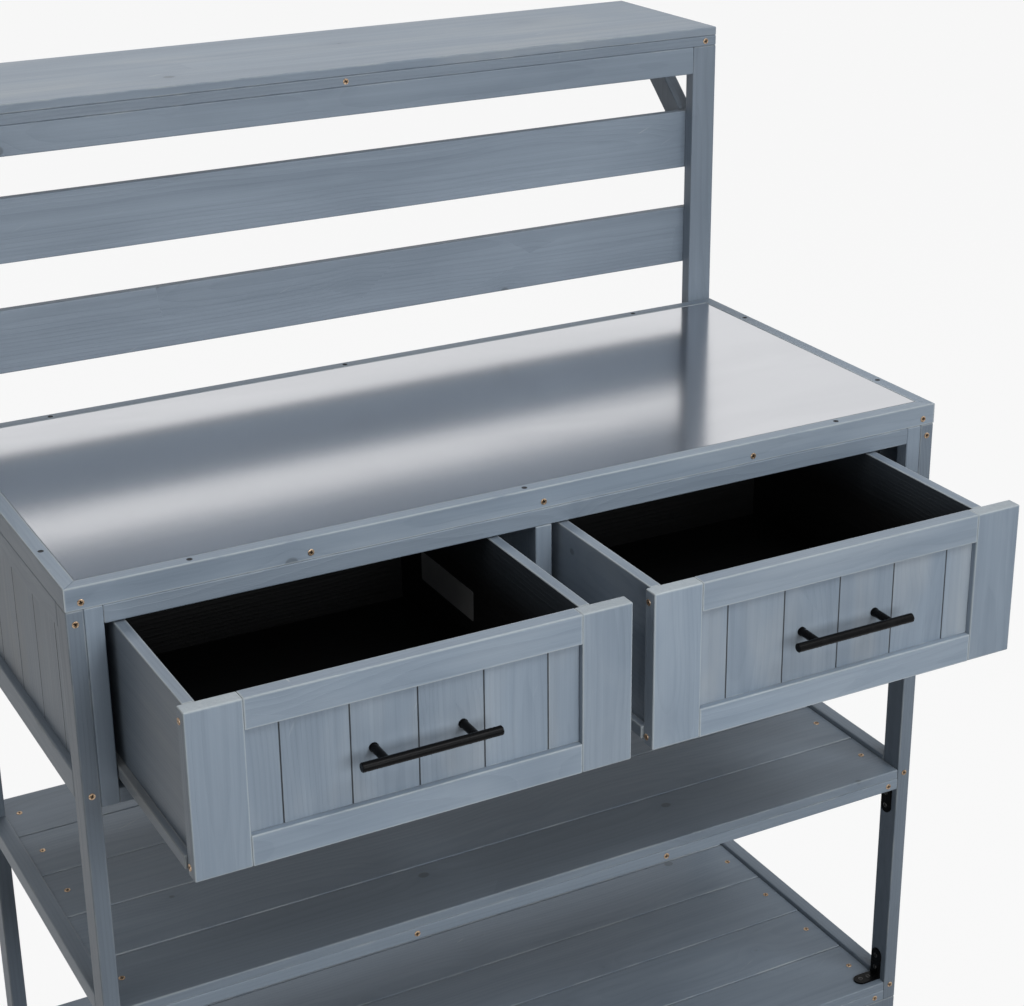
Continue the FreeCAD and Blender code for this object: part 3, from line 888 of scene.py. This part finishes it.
@dataclass
class ScrewHead:
    """A flat cross-slot screw head, upright at the origin with its seat at height 0.

    Attributes:
        radius: The head's radius.
        height: How far it stands up.
        arm: Half the length of the cross slot.
        slot: Half its width.
        sink: How deep the slot is.
        sides: Number of sides of the head.
    """

    radius: float = 3.6 * MM
    height: float = 0.8 * MM
    arm: float = 2.1 * MM
    slot: float = 0.55 * MM
    sink: float = 0.75 * MM
    sides: int = 24

    def build(self) -> bpy.types.Mesh:
        """Build the head: a rim, a slightly dished face and a tapering cross."""
        form = bmesh.new()
        corners = self.cross()
        inner = [form.verts.new((x, y, self.height * 0.85)) for x, y in corners]
        deep = [form.verts.new((x * 0.62, y * 0.62, self.height - self.sink)) for x, y in corners]
        for index, corner in enumerate(inner):
            other = (index + 1) % len(inner)
            form.faces.new((corner, inner[other], deep[other], deep[index]))
        form.faces.new(deep)
        rings = [self.ring(form, share, height) for share, height in ((0.86, 1.0), (0.97, 0.8), (1.0, 0.0))]
        for ring, after in zip(rings, rings[1:]):
            for index in range(self.sides):
                other = (index + 1) % self.sides
                form.faces.new((ring[index], ring[other], after[other], after[index]))
        form.faces.new(rings[-1])
        rim = [form.edges.get((ring_a, ring_b)) for ring_a, ring_b in zip(rings[0], rings[0][1:] + rings[0][:1])]
        hole = [form.edges.get((one, two)) for one, two in zip(inner, inner[1:] + inner[:1])]
        bmesh.ops.bridge_loops(form, edges=rim + hole)
        mesh = mesh_of(form, "screw_head", 0.5)
        # The attribute "sunk" places the painted shade: 1 in the cross slot's deep part, 0.55 on the face near the
        # cross.
        sunk = mesh.attributes.new("sunk", "FLOAT", "POINT")
        for vertex, entry in zip(mesh.vertices, sunk.data):
            reach = vertex.co.xy.length
            inner = 1.0 if reach < self.arm * 1.3 else 0.0
            entry.value = 1.0 if vertex.co.z < self.height * 0.5 and inner else 0.55 * inner
        return mesh

    def ring(self, form: bmesh.types.BMesh, share: float, height: float) -> list[bmesh.types.BMVert]:
        """Add a round of vertices at a share of the radius and of the height."""
        angles = [2 * math.pi * side / self.sides for side in range(self.sides)]
        radius = self.radius * share
        return [
            form.verts.new((math.cos(angle) * radius, math.sin(angle) * radius, self.height * height))
            for angle in angles
        ]

    def cross(self) -> list[tuple[float, float]]:
        """Give the cross slot's twelve corners in order."""
        corners = []
        for quarter in range(4):
            angle = quarter * math.pi / 2
            turn = Matrix.Rotation(angle, 2)
            for x, y in ((self.slot, self.slot), (self.slot, self.arm), (-self.slot, self.arm)):
                point = turn @ Vector((x, y))
                corners.append((point.x, point.y))
        return corners


@dataclass
class SunkHole:
    """The mouth of a screw hole: a cup that takes a near-black painted shade for the hole's depth, with a thin rough
    lip, upright at the origin.
    """

    radius: float = 3.2 * MM
    lip: float = 0.25 * MM
    sides: int = 20

    def build(self) -> bpy.types.Mesh:
        """Build the lip and the dished face inside it, which takes the painted shade."""
        form = bmesh.new()
        rings = []
        for share, height in ((1.0, 0.0), (0.93, 1.0), (0.80, 0.75), (0.35, 0.25)):
            ring = []
            for side in range(self.sides):
                angle = 2 * math.pi * side / self.sides
                radius = self.radius * share
                ring.append(form.verts.new((math.cos(angle) * radius, math.sin(angle) * radius, self.lip * height)))
            rings.append(ring)
        for ring, after in zip(rings, rings[1:]):
            for side in range(self.sides):
                other = (side + 1) % self.sides
                form.faces.new((ring[side], ring[other], after[other], after[side]))
        form.faces.new(rings[-1])
        form.faces.new(list(reversed(rings[0])))
        return mesh_of(form, "sunk_hole", 0.5)


def solid_boxes(node: str, reach: float = 9 * MM) -> list[tuple[Vector, Vector]]:
    """Find the box of each small solid of a CAD node, for solids that lie further apart than their size.

    Args:
        node: The CAD node.
        reach: Further than any two points of one solid.

    Returns:
        The lowest and highest corner of each solid.
    """
    groups: list[list[Vector]] = []
    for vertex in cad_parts[node].data.vertices:
        home = next((group for group in groups if (group[0] - vertex.co).length < reach), None)
        if home is None:
            groups.append([vertex.co.copy()])
        else:
            home.append(vertex.co.copy())
    boxes = []
    for group in groups:
        low = Vector([min(point[axis] for point in group) for axis in range(3)])
        high = Vector([max(point[axis] for point in group) for axis in range(3)])
        boxes.append((low, high))
    return boxes


def screw_spots(node: str) -> list[Spot]:
    """Find the seats of a CAD node's screw heads.

    Heads on upright faces look to the front, or outwards where they are seated on a drawer's side;
    heads on level faces look up.

    Args:
        node: The CAD node.

    Returns:
        One spot for each head, facing away from the wood.
    """
    low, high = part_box(node)
    spots = []
    for least, most in solid_boxes(node):
        depth = min(range(3), key=lambda axis: most[axis] - least[axis])
        sign = {Axis.X.value: 1.0, Axis.Y.value: -1.0, Axis.Z.value: 1.0}[depth]
        if depth == Axis.X.value and least.x < (low[0] + high[0]) / 2:
            sign = -1.0
        facing = Vector((0, 0, 0))
        facing[depth] = sign
        seat = (least + most) / 2 - facing * ((most[depth] - least[depth]) / 2)
        spots.append(Spot(tuple(seat), tuple(facing)))
    return spots


# ---------------------------------------------------------------- sub-assemblies


def dress(node: str, material: bpy.types.Material) -> None:
    """Give a CAD node its finish.

    Args:
        node: The CAD node.
        material: The finish, put in each of its slots.
    """
    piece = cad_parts[node]
    for slot in piece.material_slots:
        slot.material = material
    LOG.info("%s: dressed in %s", node, material.name)


def stain(node: str, grain: Axis, *repeats: Repeat, wood: StainedWood = StainedWood()) -> None:
    """Stain a CAD node's boards.

    Args:
        node: The CAD node.
        grain: The axis its fibres follow.
        *repeats: Where it holds several boards.
        wood: The stain.
    """
    dress(node, wood.material(f"stain_{node}", BoardLay.of(node, grain, *repeats)))


@dataclass
class Worktop:
    """The mitred frame, the metal sheet in it, the panel under the sheet and the frame's sunk screw holes.

    Attributes:
        wood: The stain of the frame.
        sheet: The metal.
        front_holes: Distances of the front rail's holes from the left end.
        back_holes: Distances of the back rail's holes from the left end.
        left_holes: Distances of the left rail's holes from the front.
        right_holes: Distances of the right rail's holes from the front.
        inset: How far the holes are from the frame's outer edge.
    """

    wood: StainedWood = StainedWood(tone=1.04, brown=0.1, wear=1.2, scuffs=0.9)
    sheet: BrushedSheet = BrushedSheet()
    front_holes: tuple[float, ...] = (0.132, 0.511, 0.922)
    back_holes: tuple[float, ...] = (0.132, 0.510, 0.932)
    left_holes: tuple[float, ...] = (0.101,)
    right_holes: tuple[float, ...] = (0.0995, 0.3876)
    inset: float = 0.0085

    def build(self) -> None:
        """Dress the worktop and add its sunk holes."""
        for side, grain in (("front", Axis.X), ("back", Axis.X), ("left", Axis.Y), ("right", Axis.Y)):
            stain(f"frame_{side}", grain, wood=self.wood)
        dress("worktop_sheet", self.sheet.material("brushed_sheet"))
        stain("worktop_panel", Axis.X)
        hole = SunkHole().build()
        # Painted shade: the holes' cups are coloured near black for the shade down the screw holes.
        dark = PaintedShade(colour(0.010, 0.011, 0.013), colour(0.035, 0.038, 0.042)).material("hole_painted_shade", Axis.Z)
        mesh = Scatter("seat_holes").mesh("worktop_holes", self.hole_spots(), hole, dark, 5)
        keep_mesh("worktop_holes", mesh, dark, "bench")

    def hole_spots(self) -> list[Spot]:
        """Place the holes on the frame's top face."""
        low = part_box("frame_left")[0]
        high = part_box("frame_right")[1]
        top = high[2]
        up = (0.0, 0.0, 1.0)
        spots = [Spot((low[0] + run, low[1] + self.inset, top), up) for run in self.front_holes]
        spots += [Spot((low[0] + run, high[1] - self.inset, top), up) for run in self.back_holes]
        spots += [Spot((low[0] + self.inset, low[1] + run, top), up) for run in self.left_holes]
        spots += [Spot((high[0] - self.inset, low[1] + run, top), up) for run in self.right_holes]
        return spots


@dataclass
class Cabinet:
    """The box that holds the drawers: its front, its boarded sides, its back and the drawer slides.

    Attributes:
        wood: The stain of its front and back.
        boards: The stain of its side boards.
        side_pitch: Width of a side board.
        side_early: How much narrower the first side board is.
    """

    wood: StainedWood = StainedWood(tone=0.98)
    boards: StainedWood = StainedWood(tone=0.95, brown=0.45, knots=0.25, wear=0.3)
    side_pitch: float = 0.0774
    side_early: float = 0.0329
    side_count: int = 6
    divider_raw: RawWood = RawWood()

    def build(self) -> None:
        """Dress the cabinet's nodes."""
        for side in Side:
            stain(f"stile_{side.value}", Axis.Z, wood=self.wood)
            low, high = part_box(f"side_rails_{side.value}")
            pitch = high[2] - low[2] - 0.0285
            stain(f"side_rails_{side.value}", Axis.Y, Repeat(Axis.Z, 2, pitch), wood=self.wood)
            boards = Repeat(Axis.Y, self.side_count, self.side_pitch, self.side_early, True)
            stain(f"side_boards_{side.value}", Axis.Z, boards, wood=self.boards)
        stain("opening_rail", Axis.X, wood=self.wood)
        stain("centre_divider", Axis.Z, wood=self.wood)
        low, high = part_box("sills")
        stain("sills", Axis.X, Repeat(Axis.X, 2, (high[0] - low[0]) / 2), wood=self.wood)
        stain("back_board", Axis.X, wood=self.wood)
        dress("drawer_slides", RawWood().material("raw_slides", Axis.Y))


@dataclass
class Stand:
    """The four legs and the blocks under them."""

    # The legs and feet take the stain set darker than elsewhere on the bench: painted shade, for the shade that falls
    # on the legs.
    wood: StainedWood = StainedWood(tone=0.78, wear=0.8)
    foot_width: float = 0.0465

    def build(self) -> None:
        """Dress the legs and the feet."""
        for end in ("front", "rear"):
            for side in Side:
                stain(f"leg_{end}_{side.value}", Axis.Z, wood=self.wood)
        low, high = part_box("feet")
        repeats = (
            Repeat(Axis.X, 2, high[0] - low[0] - self.foot_width),
            Repeat(Axis.Y, 2, high[1] - low[1] - self.foot_width),
        )
        stain("feet", Axis.Z, *repeats, wood=self.wood)


@dataclass
class Shelves:
    """The two slatted shelves with their aprons, side rails and cleats.

    Attributes:
        wood: The stain of the boards.
        trim: The stain of the aprons and rails.
        stock: Thickness of the aprons and rails.
        count: Boards on each shelf.
        gap: The gap between two boards.
    """

    wood: StainedWood = StainedWood(tone=0.97, brown=0.0, knots=0.6, wear=0.8, scuffs=0.8)
    trim: StainedWood = StainedWood(tone=0.95, wear=0.5)
    stock: float = 0.0185
    count: int = 5
    gap: float = 0.0016

    def build(self) -> None:
        """Dress both shelves."""
        for shelf in ("middle", "bottom"):
            low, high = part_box(f"{shelf}_shelf_boards")
            pitch = (high[1] - low[1] + self.gap) / self.count
            stain(f"{shelf}_shelf_boards", Axis.X, Repeat(Axis.Y, self.count, pitch), wood=self.wood)
            low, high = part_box(f"{shelf}_shelf_aprons")
            apart = Repeat(Axis.Y, 2, high[1] - low[1] - self.stock)
            stain(f"{shelf}_shelf_aprons", Axis.X, apart, wood=self.trim)
            low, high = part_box(f"{shelf}_shelf_rails")
            apart = Repeat(Axis.X, 2, high[0] - low[0] - self.stock)
            stain(f"{shelf}_shelf_rails", Axis.Y, apart, wood=self.trim)
        stain("shelf_cleats", Axis.Y, wood=self.trim)


@dataclass
class Hutch:
    """The posts, slats, rail, braces and lipped top board that rise behind the worktop.

    Attributes:
        wood: The stain of the upright parts.
        slats: The stain of the slats.
        top: The stain of the top board.
        stock: Thickness of the braces and of the cleats under the top board.
    """

    wood: StainedWood = StainedWood(tone=0.86, wear=0.4)
    slats: StainedWood = StainedWood(tone=0.90, wear=0.3, scuffs=0.7)
    top: StainedWood = StainedWood(tone=1.0, wear=0.8, brown=0.25, scuffs=0.9)
    stock: float = 0.0185

    def build(self) -> None:
        """Dress the hutch."""
        for side in Side:
            stain(f"post_{side.value}", Axis.Z, wood=self.wood)
        for level in ("lower", "upper"):
            stain(f"slat_{level}", Axis.X, wood=self.slats)
        stain("hutch_rail", Axis.X, wood=self.wood)
        stain("hutch_lip", Axis.X, wood=self.wood)
        stain("hutch_board", Axis.X, wood=self.top)
        low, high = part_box("hutch_cleats")
        stain("hutch_cleats", Axis.Y, Repeat(Axis.X, 2, high[0] - low[0] - self.stock), wood=self.wood)
        low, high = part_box("braces")
        stain("braces", Axis.Z, Repeat(Axis.X, 2, high[0] - low[0] - self.stock), wood=self.wood)


@dataclass
class Drawer:
    """One drawer: its panelled front, its box, its runners and its bar handle.

    Attributes:
        side: Which of the two drawers it is.
        stile: Width of the front's upright boards.
        rail: Height of the front's level boards.
        boards: Number of tongued boards in the front, the half ones counted.
        wall: Thickness of the box's sides.
        stiles_wood: The stain of the front's frame.
        boards_wood: The stain of the tongued boards.
        box_wood: The stain of the box's outside.
        runner_wood: The stain of the runners, rubbed bare along their edges.
        box_width: Width of the box between its runners.
        bar: Radius of the handle's bar.
        post: Radius of its posts.
        spacing: Distance between the posts.
    """

    side: Side
    stile: float = 0.058
    rail: float = 0.033
    boards: int = 6
    wall: float = 0.013
    stiles_wood: StainedWood = StainedWood(tone=1.09, brown=0.1, wear=1.2, scuffs=1.0, knots=0.35)
    boards_wood: StainedWood = StainedWood(tone=1.08, brown=0.3, wear=0.5, scuffs=1.1, knots=0.4)
    box_wood: StainedWood = StainedWood(tone=0.95, brown=0.2, wear=1.4, scuffs=0.9)
    runner_wood: StainedWood = StainedWood(tone=0.8, brown=0.9, wear=1.6)
    box_width: float = 0.429
    bar: float = 0.005
    post: float = 0.0045
    spacing: float = 0.096

    @property
    def body(self) -> str:
        """The body this drawer's pieces move with."""
        return f"drawer_{self.side.value}"

    def cavity(self) -> Cavity:
        """Give the drawer's hollow, a little larger than it is, so that its faces take the painted shade."""
        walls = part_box(f"{self.body}_walls")
        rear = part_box(f"{self.body}_rear")
        low = (walls[0][0] + self.wall - 0.6 * MM, walls[0][1] - 1.0 * MM, walls[0][2] - 0.01)
        high = (walls[1][0] - self.wall + 0.6 * MM, rear[0][1] + 0.6 * MM, walls[1][2] - 1.2 * MM)
        return Cavity(low, high)

    def build(self) -> None:
        """Dress the drawer and add its handle."""
        self.dress_front()
        self.dress_box()
        self.build_handle()

    def dress_front(self) -> None:
        """Stain the front's frame and its tongued boards."""
        low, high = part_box(f"{self.body}_front_stiles")
        pair = Repeat(Axis.X, 2, high[0] - low[0] - self.stile)
        stain(f"{self.body}_front_stiles", Axis.Z, pair, wood=self.stiles_wood)
        low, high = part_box(f"{self.body}_front_rails")
        pair = Repeat(Axis.Z, 2, high[2] - low[2] - self.rail)
        stain(f"{self.body}_front_rails", Axis.X, pair, wood=self.stiles_wood)
        low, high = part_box(f"{self.body}_front_boards")
        pitch = (high[0] - low[0]) / (self.boards - 1)
        row = Repeat(Axis.X, self.boards, pitch, pitch / 2, True)
        lay = BoardLay.of(f"{self.body}_front_boards", Axis.Z, row)
        # Faces of the front boards inside the hollow take the near-black painted shade.
        material = self.boards_wood.material(f"stain_{self.body}_front_boards", lay, self.cavity())
        dress(f"{self.body}_front_boards", material)

    def dress_box(self) -> None:
        """Stain the box's outside, and paint near-black shade on its inside and floor."""
        cavity = self.cavity()
        low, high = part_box(f"{self.body}_walls")
        pair = Repeat(Axis.X, 2, high[0] - low[0] - self.wall)
        # Inside the hollow, the walls and the rear take the near-black painted shade.
        for part, grain, repeats in (("walls", Axis.Y, (pair,)), ("rear", Axis.X, ())):
            lay = BoardLay.of(f"{self.body}_{part}", grain, *repeats)
            dress(f"{self.body}_{part}", self.box_wood.material(f"stain_{self.body}_{part}", lay, cavity))
        # Painted shade: the drawer's floor is coloured near black for the shade inside the drawer.
        dress(f"{self.body}_floor", PaintedShade().material(f"{self.body}_floor_painted_shade", Axis.X))
        low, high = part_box(f"{self.body}_runners")
        width = (high[0] - low[0] - self.box_width) / 2
        stain(f"{self.body}_runners", Axis.Y, Repeat(Axis.X, 2, high[0] - low[0] - width), wood=self.runner_wood)

    def build_handle(self) -> None:
        """Turn the bar handle with eased ends and posts on small collars, in place of the CAD one."""
        low, high = (Vector(corner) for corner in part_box(f"{self.body}_handle"))
        middle = (low + high) / 2
        length = high.x - low.x
        bar_y = low.y + self.bar
        form = bmesh.new()
        ease = 0.7 * MM / length
        profile = [(0, self.bar - 0.7 * MM), (ease, self.bar), (1 - ease, self.bar), (1, self.bar - 0.7 * MM)]
        add_rod(form, (low.x, bar_y, middle.z), (high.x, bar_y, middle.z), profile, 40)
        bar = mesh_of(form, f"{self.body}_bar", 0.5)
        posts = bmesh.new()
        for way in (-0.5, 0.5):
            x = middle.x + way * self.spacing
            share = 1 - 1.6 * MM / (high.y - bar_y)
            steps = [(0, self.post), (share, self.post), (share + 0.002, self.post * 1.14), (1, self.post * 1.14)]
            add_rod(posts, (x, bar_y, middle.z), (x, high.y, middle.z), steps, 32)
        post_mesh = mesh_of(posts, f"{self.body}_bar_posts", 0.5)
        coat = SatinBlack().material(f"{self.body}_coat")
        pieces = [
            keep_mesh(f"{self.body}_bar", bar, coat, self.body),
            keep_mesh(f"{self.body}_bar_posts", post_mesh, coat, self.body),
        ]
        for piece in pieces:
            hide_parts(f"{self.body}_handle")


@dataclass
class Label:
    """A blank label on the inner face of the left drawer's right side.

    Attributes:
        length: Its size along the drawer.
        height: Its size up the side.
        from_front: From the drawer front's face to its near end.
        from_top: From the side's top edge to its upper edge.
        thick: Its thickness.
        rounding: Radius of its corners.
    """

    length: float = 0.130
    height: float = 0.036
    from_front: float = 0.250
    from_top: float = 0.079
    thick: float = 0.2 * MM
    rounding: float = 2.5 * MM

    def build(self) -> None:
        """Cut the label with rounded corners and lay it on the drawer's side."""
        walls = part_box("drawer_left_walls")
        face = walls[1][0] - 0.013
        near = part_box("drawer_left_front_stiles")[0][1] + self.from_front
        top = walls[1][2] - self.from_top
        form = bmesh.new()
        outline = []
        for corner_y, corner_z, start in (
            (near + self.length, top, 0),
            (near, top, 1),
            (near, top - self.height, 2),
            (near + self.length, top - self.height, 3),
        ):
            inward_y = -1 if start in (0, 3) else 1
            inward_z = -1 if start in (0, 1) else 1
            for step in range(6):
                angle = math.pi / 2 * (start + step / 5)
                y = corner_y + inward_y * self.rounding + math.cos(angle) * self.rounding
                z = corner_z + inward_z * self.rounding + math.sin(angle) * self.rounding
                outline.append((y, z))
        front = [form.verts.new((face - self.thick, y, z)) for y, z in outline]
        back = [form.verts.new((face - 0.02 * MM, y, z)) for y, z in outline]
        form.faces.new(front)
        form.faces.new(list(reversed(back)))
        for index, corner in enumerate(front):
            other = (index + 1) % len(front)
            form.faces.new((corner, front[other], back[other], back[index]))
        mesh = mesh_of(form, "blank_label", 0.5)
        keep_mesh("blank_label", mesh, BlankPaper().material("label_paper"), "drawer_left")


@dataclass
class Hardware:
    """The cross-slot screws and the corner brackets with theirs.

    Attributes:
        plate: Thickness of a bracket.
        width: Width of a bracket.
        leg_holes: Distances of the upright plate's screws from the corner.
        foot_holes: Distances of the level plate's screws from the corner.
    """

    plate: float = 2.5 * MM
    width: float = 18.0 * MM
    leg_holes: tuple[float, ...] = (0.014, 0.032)
    foot_holes: tuple[float, ...] = (0.013, 0.025)

    def build(self) -> None:
        """Seat every screw and coat the brackets."""
        head = ScrewHead().build()
        homes = {
            "frame_screws": "bench",
            "shelf_screws": "bench",
            "drawer_left_screws": "drawer_left",
            "drawer_right_screws": "drawer_right",
        }
        for seed, (node, body) in enumerate(homes.items(), start=1):
            plating = PlatedSteel().material(f"plated_{node}")
            mesh = Scatter(f"seat_{node}").mesh(f"{node}_heads", screw_spots(node), head, plating, seed)
            piece = keep_mesh(f"{node}_heads", mesh, plating, body)
            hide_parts(node)
        dress("brackets", SatinBlack().material("bracket_coat"))
        dark = PlatedSteel(colour(0.10, 0.10, 0.10), colour(0.03, 0.03, 0.03)).material("bracket_screw_steel")
        small = ScrewHead(radius=3.2 * MM, height=0.6 * MM, arm=1.8 * MM).build()
        mesh = Scatter("seat_bracket_screws").mesh("bracket_screws", self.bracket_spots(), small, dark, 9)
        keep_mesh("bracket_screws", mesh, dark, "bench")

    def bracket_spots(self) -> list[Spot]:
        """Place two screws on each plate of the eight brackets."""
        low, high = (Vector(corner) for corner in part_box("brackets"))
        spots = []
        for x, inward in ((low.x, 1.0), (high.x, -1.0)):
            for y in (low.y + self.width / 2, high.y - self.width / 2):
                for z, upward in ((low.z, 1.0), (high.z, -1.0)):
                    for run in self.leg_holes:
                        spots.append(Spot((x + inward * self.plate, y, z + upward * run), (inward, 0, 0)))
                    for run in self.foot_holes:
                        spots.append(Spot((x + inward * run, y, z + upward * self.plate), (0, 0, upward)))
        return spots


# ---------------------------------------------------------------- studio


@dataclass(frozen=True)
class Softbox:
    """One large soft lamp.

    Attributes:
        name: Its name.
        place: Where it hangs.
        size: Its width and height.
        watts: Its power.
        tint: Its colour.
    """

    name: str
    place: Vec
    size: tuple[float, float]
    watts: float
    tint: tuple[float, float, float] = (1.0, 1.0, 1.0)

    def hang(self, target: Vector) -> None:
        """Hang the lamp so that it points at the target."""
        lamp = bpy.data.lights.new(self.name, "AREA")
        lamp.shape = "RECTANGLE"
        lamp.size, lamp.size_y = self.size
        lamp.energy = self.watts
        lamp.color = self.tint
        holder = bpy.data.objects.new(self.name, lamp)
        bpy.context.scene.collection.objects.link(holder)
        holder.location = self.place
        aim = target - Vector(self.place)
        holder.rotation_euler = aim.to_track_quat("-Z", "Y").to_euler()


@dataclass
class Studio:
    """A plain pale floor, soft lamps, a white surround and the camera.

    Attributes:
        place: The camera's place.
        turn: Its compass turn from +Y towards +X, in degrees.
        tilt: How far it looks down, in degrees.
        roll: Its turn about its own line of sight, in degrees.
        lens: Its focal length on a 36 mm wide sensor, in millimetres.
        shift: Its shift across and up.
        surround: Strength of the surround as a light on the object.
        lamps: The soft lamps.
    """

    place: Vec = (-1.01596, -2.08177, 1.73072)
    turn: float = 28.414
    tilt: float = 21.844
    roll: float = 0.463
    lens: float = 74.30
    shift: tuple[float, float] = (-0.0135, -0.0315)
    surround: float = 0.01
    lamps: tuple[Softbox, ...] = (
        Softbox("key", (1.2, -2.3, 3.5), (1.6, 1.4), 50.0, (0.95, 0.98, 1.0)),
        Softbox("low_front", (-0.1, -2.4, 1.3), (1.0, 1.0), 27.0, (0.95, 0.98, 1.0)),
        Softbox("low_right", (1.5, -3.3, 1.6), (1.0, 1.2), 6.0, (0.95, 0.98, 1.0)),
        Softbox("high_left", (-1.4, -2.1, 3.3), (1.6, 1.4), 6.0, (1.0, 0.98, 0.95)),
        Softbox("left_fill", (-1.9, -0.6, 2.3), (1.0, 1.0), 5.0, (1.0, 0.98, 0.95)),
        Softbox("right_fill", (2.0, -0.5, 2.3), (1.0, 1.0), 6.0),
        Softbox("back_top", (0.0, 1.3, 3.2), (1.6, 1.2), 34.0),
    )

    def build(self) -> None:
        """Set up the studio."""
        scene = bpy.context.scene
        scene.view_settings.view_transform = "Standard"
        self.build_camera(scene)
        self.build_world(scene)
        self.build_floor()
        middle = Vector((0.0, 0.0, 0.75))
        for lamp in self.lamps:
            lamp.hang(middle)

    def build_camera(self, scene: bpy.types.Scene) -> None:
        """Set the camera in place and make it the scene's."""
        data = bpy.data.cameras.new("camera")
        data.sensor_width = 36.0
        data.lens = self.lens
        data.shift_x, data.shift_y = self.shift
        camera = bpy.data.objects.new("camera", data)
        scene.collection.objects.link(camera)
        turn = math.radians(self.turn)
        tilt = math.radians(self.tilt)
        sight = Vector((math.sin(turn) * math.cos(tilt), math.cos(turn) * math.cos(tilt), -math.sin(tilt)))
        spin = Matrix.Rotation(math.radians(self.roll), 4, sight)
        camera.matrix_world = Matrix.Translation(self.place) @ spin @ sight.to_track_quat("-Z", "Y").to_matrix().to_4x4()
        scene.camera = camera

    def build_world(self, scene: bpy.types.Scene) -> None:
        """Make a surround that looks white and lights the object softly."""
        world = bpy.data.worlds.new("surround")
        scene.world = world
        world.use_nodes = True
        tree = world.node_tree
        tree.nodes.clear()
        path = tree.nodes.new("ShaderNodeLightPath")
        seen = tree.nodes.new("ShaderNodeMath")
        seen.operation = "MAXIMUM"
        through = tree.nodes.new("ShaderNodeMath")
        through.operation = "MAXIMUM"
        tree.links.new(path.outputs["Is Camera Ray"], seen.inputs[0])
        tree.links.new(path.outputs["Is Glossy Ray"], seen.inputs[1])
        tree.links.new(seen.outputs[0], through.inputs[0])
        tree.links.new(path.outputs["Is Transmission Ray"], through.inputs[1])
        strength = tree.nodes.new("ShaderNodeMapRange")
        strength.inputs["To Min"].default_value = self.surround
        strength.inputs["To Max"].default_value = 1.0
        tree.links.new(through.outputs[0], strength.inputs["Value"])
        background = tree.nodes.new("ShaderNodeBackground")
        background.inputs["Color"].default_value = colour(1, 1, 1)
        tree.links.new(strength.outputs["Result"], background.inputs["Strength"])
        output = tree.nodes.new("ShaderNodeOutputWorld")
        tree.links.new(background.outputs[0], output.inputs[0])

    def build_floor(self) -> None:
        """Lay a wide pale floor that looks almost white and still shows the bench's shadow."""
        form = bmesh.new()
        bmesh.ops.create_grid(form, x_segments=1, y_segments=1, size=40.0)
        mesh = bpy.data.meshes.new("floor")
        form.to_mesh(mesh)
        form.free()
        floor = bpy.data.objects.new("floor", mesh)
        bpy.context.scene.collection.objects.link(floor)
        mesh.materials.append(self.floor_material())

    @staticmethod
    def floor_material() -> bpy.types.Material:
        """Make the floor: pale and faintly mottled, and lifted towards white where it is looked at."""
        shade = Shade("pale_floor")
        cloud = shade.noise(shade.vector(*shade.place()), 1.3, 2.0)
        tint = shade.blend(cloud, colour(0.34, 0.34, 0.34), colour(0.37, 0.37, 0.37))
        matte = shade.add("ShaderNodeBsdfDiffuse", values={"Color": tint})
        glow = shade.add("ShaderNodeEmission", values={"Color": colour(1, 1, 1), "Strength": 1.0})
        path = shade.add("ShaderNodeLightPath").outputs
        seen = Val(shade, path["Is Camera Ray"]).most(Val(shade, path["Is Glossy Ray"]))
        seen = seen.most(Val(shade, path["Is Transmission Ray"]))
        mixed = shade.add("ShaderNodeMixShader", values={0: seen * 0.93, 1: matte.outputs[0], 2: glow.outputs[0]})
        output = shade.add("ShaderNodeOutputMaterial")
        shade.tree.links.new(mixed.outputs[0], output.inputs[0])
        return shade.material


def main() -> None:
    """Build the studio, dress every part of the bench and add what the CAD leaves out."""
    logging.basicConfig(level=logging.INFO, format="%(name)s: %(message)s")
    parts = (
        Studio(),
        Worktop(),
        Cabinet(),
        Stand(),
        Shelves(),
        Hutch(),
        Drawer(Side.LEFT),
        Drawer(Side.RIGHT),
        Label(),
        Hardware(),
    )
    for part in parts:
        part.build()
        LOG.info("%s done", type(part).__name__)


if __name__ == "__main__":
    main()
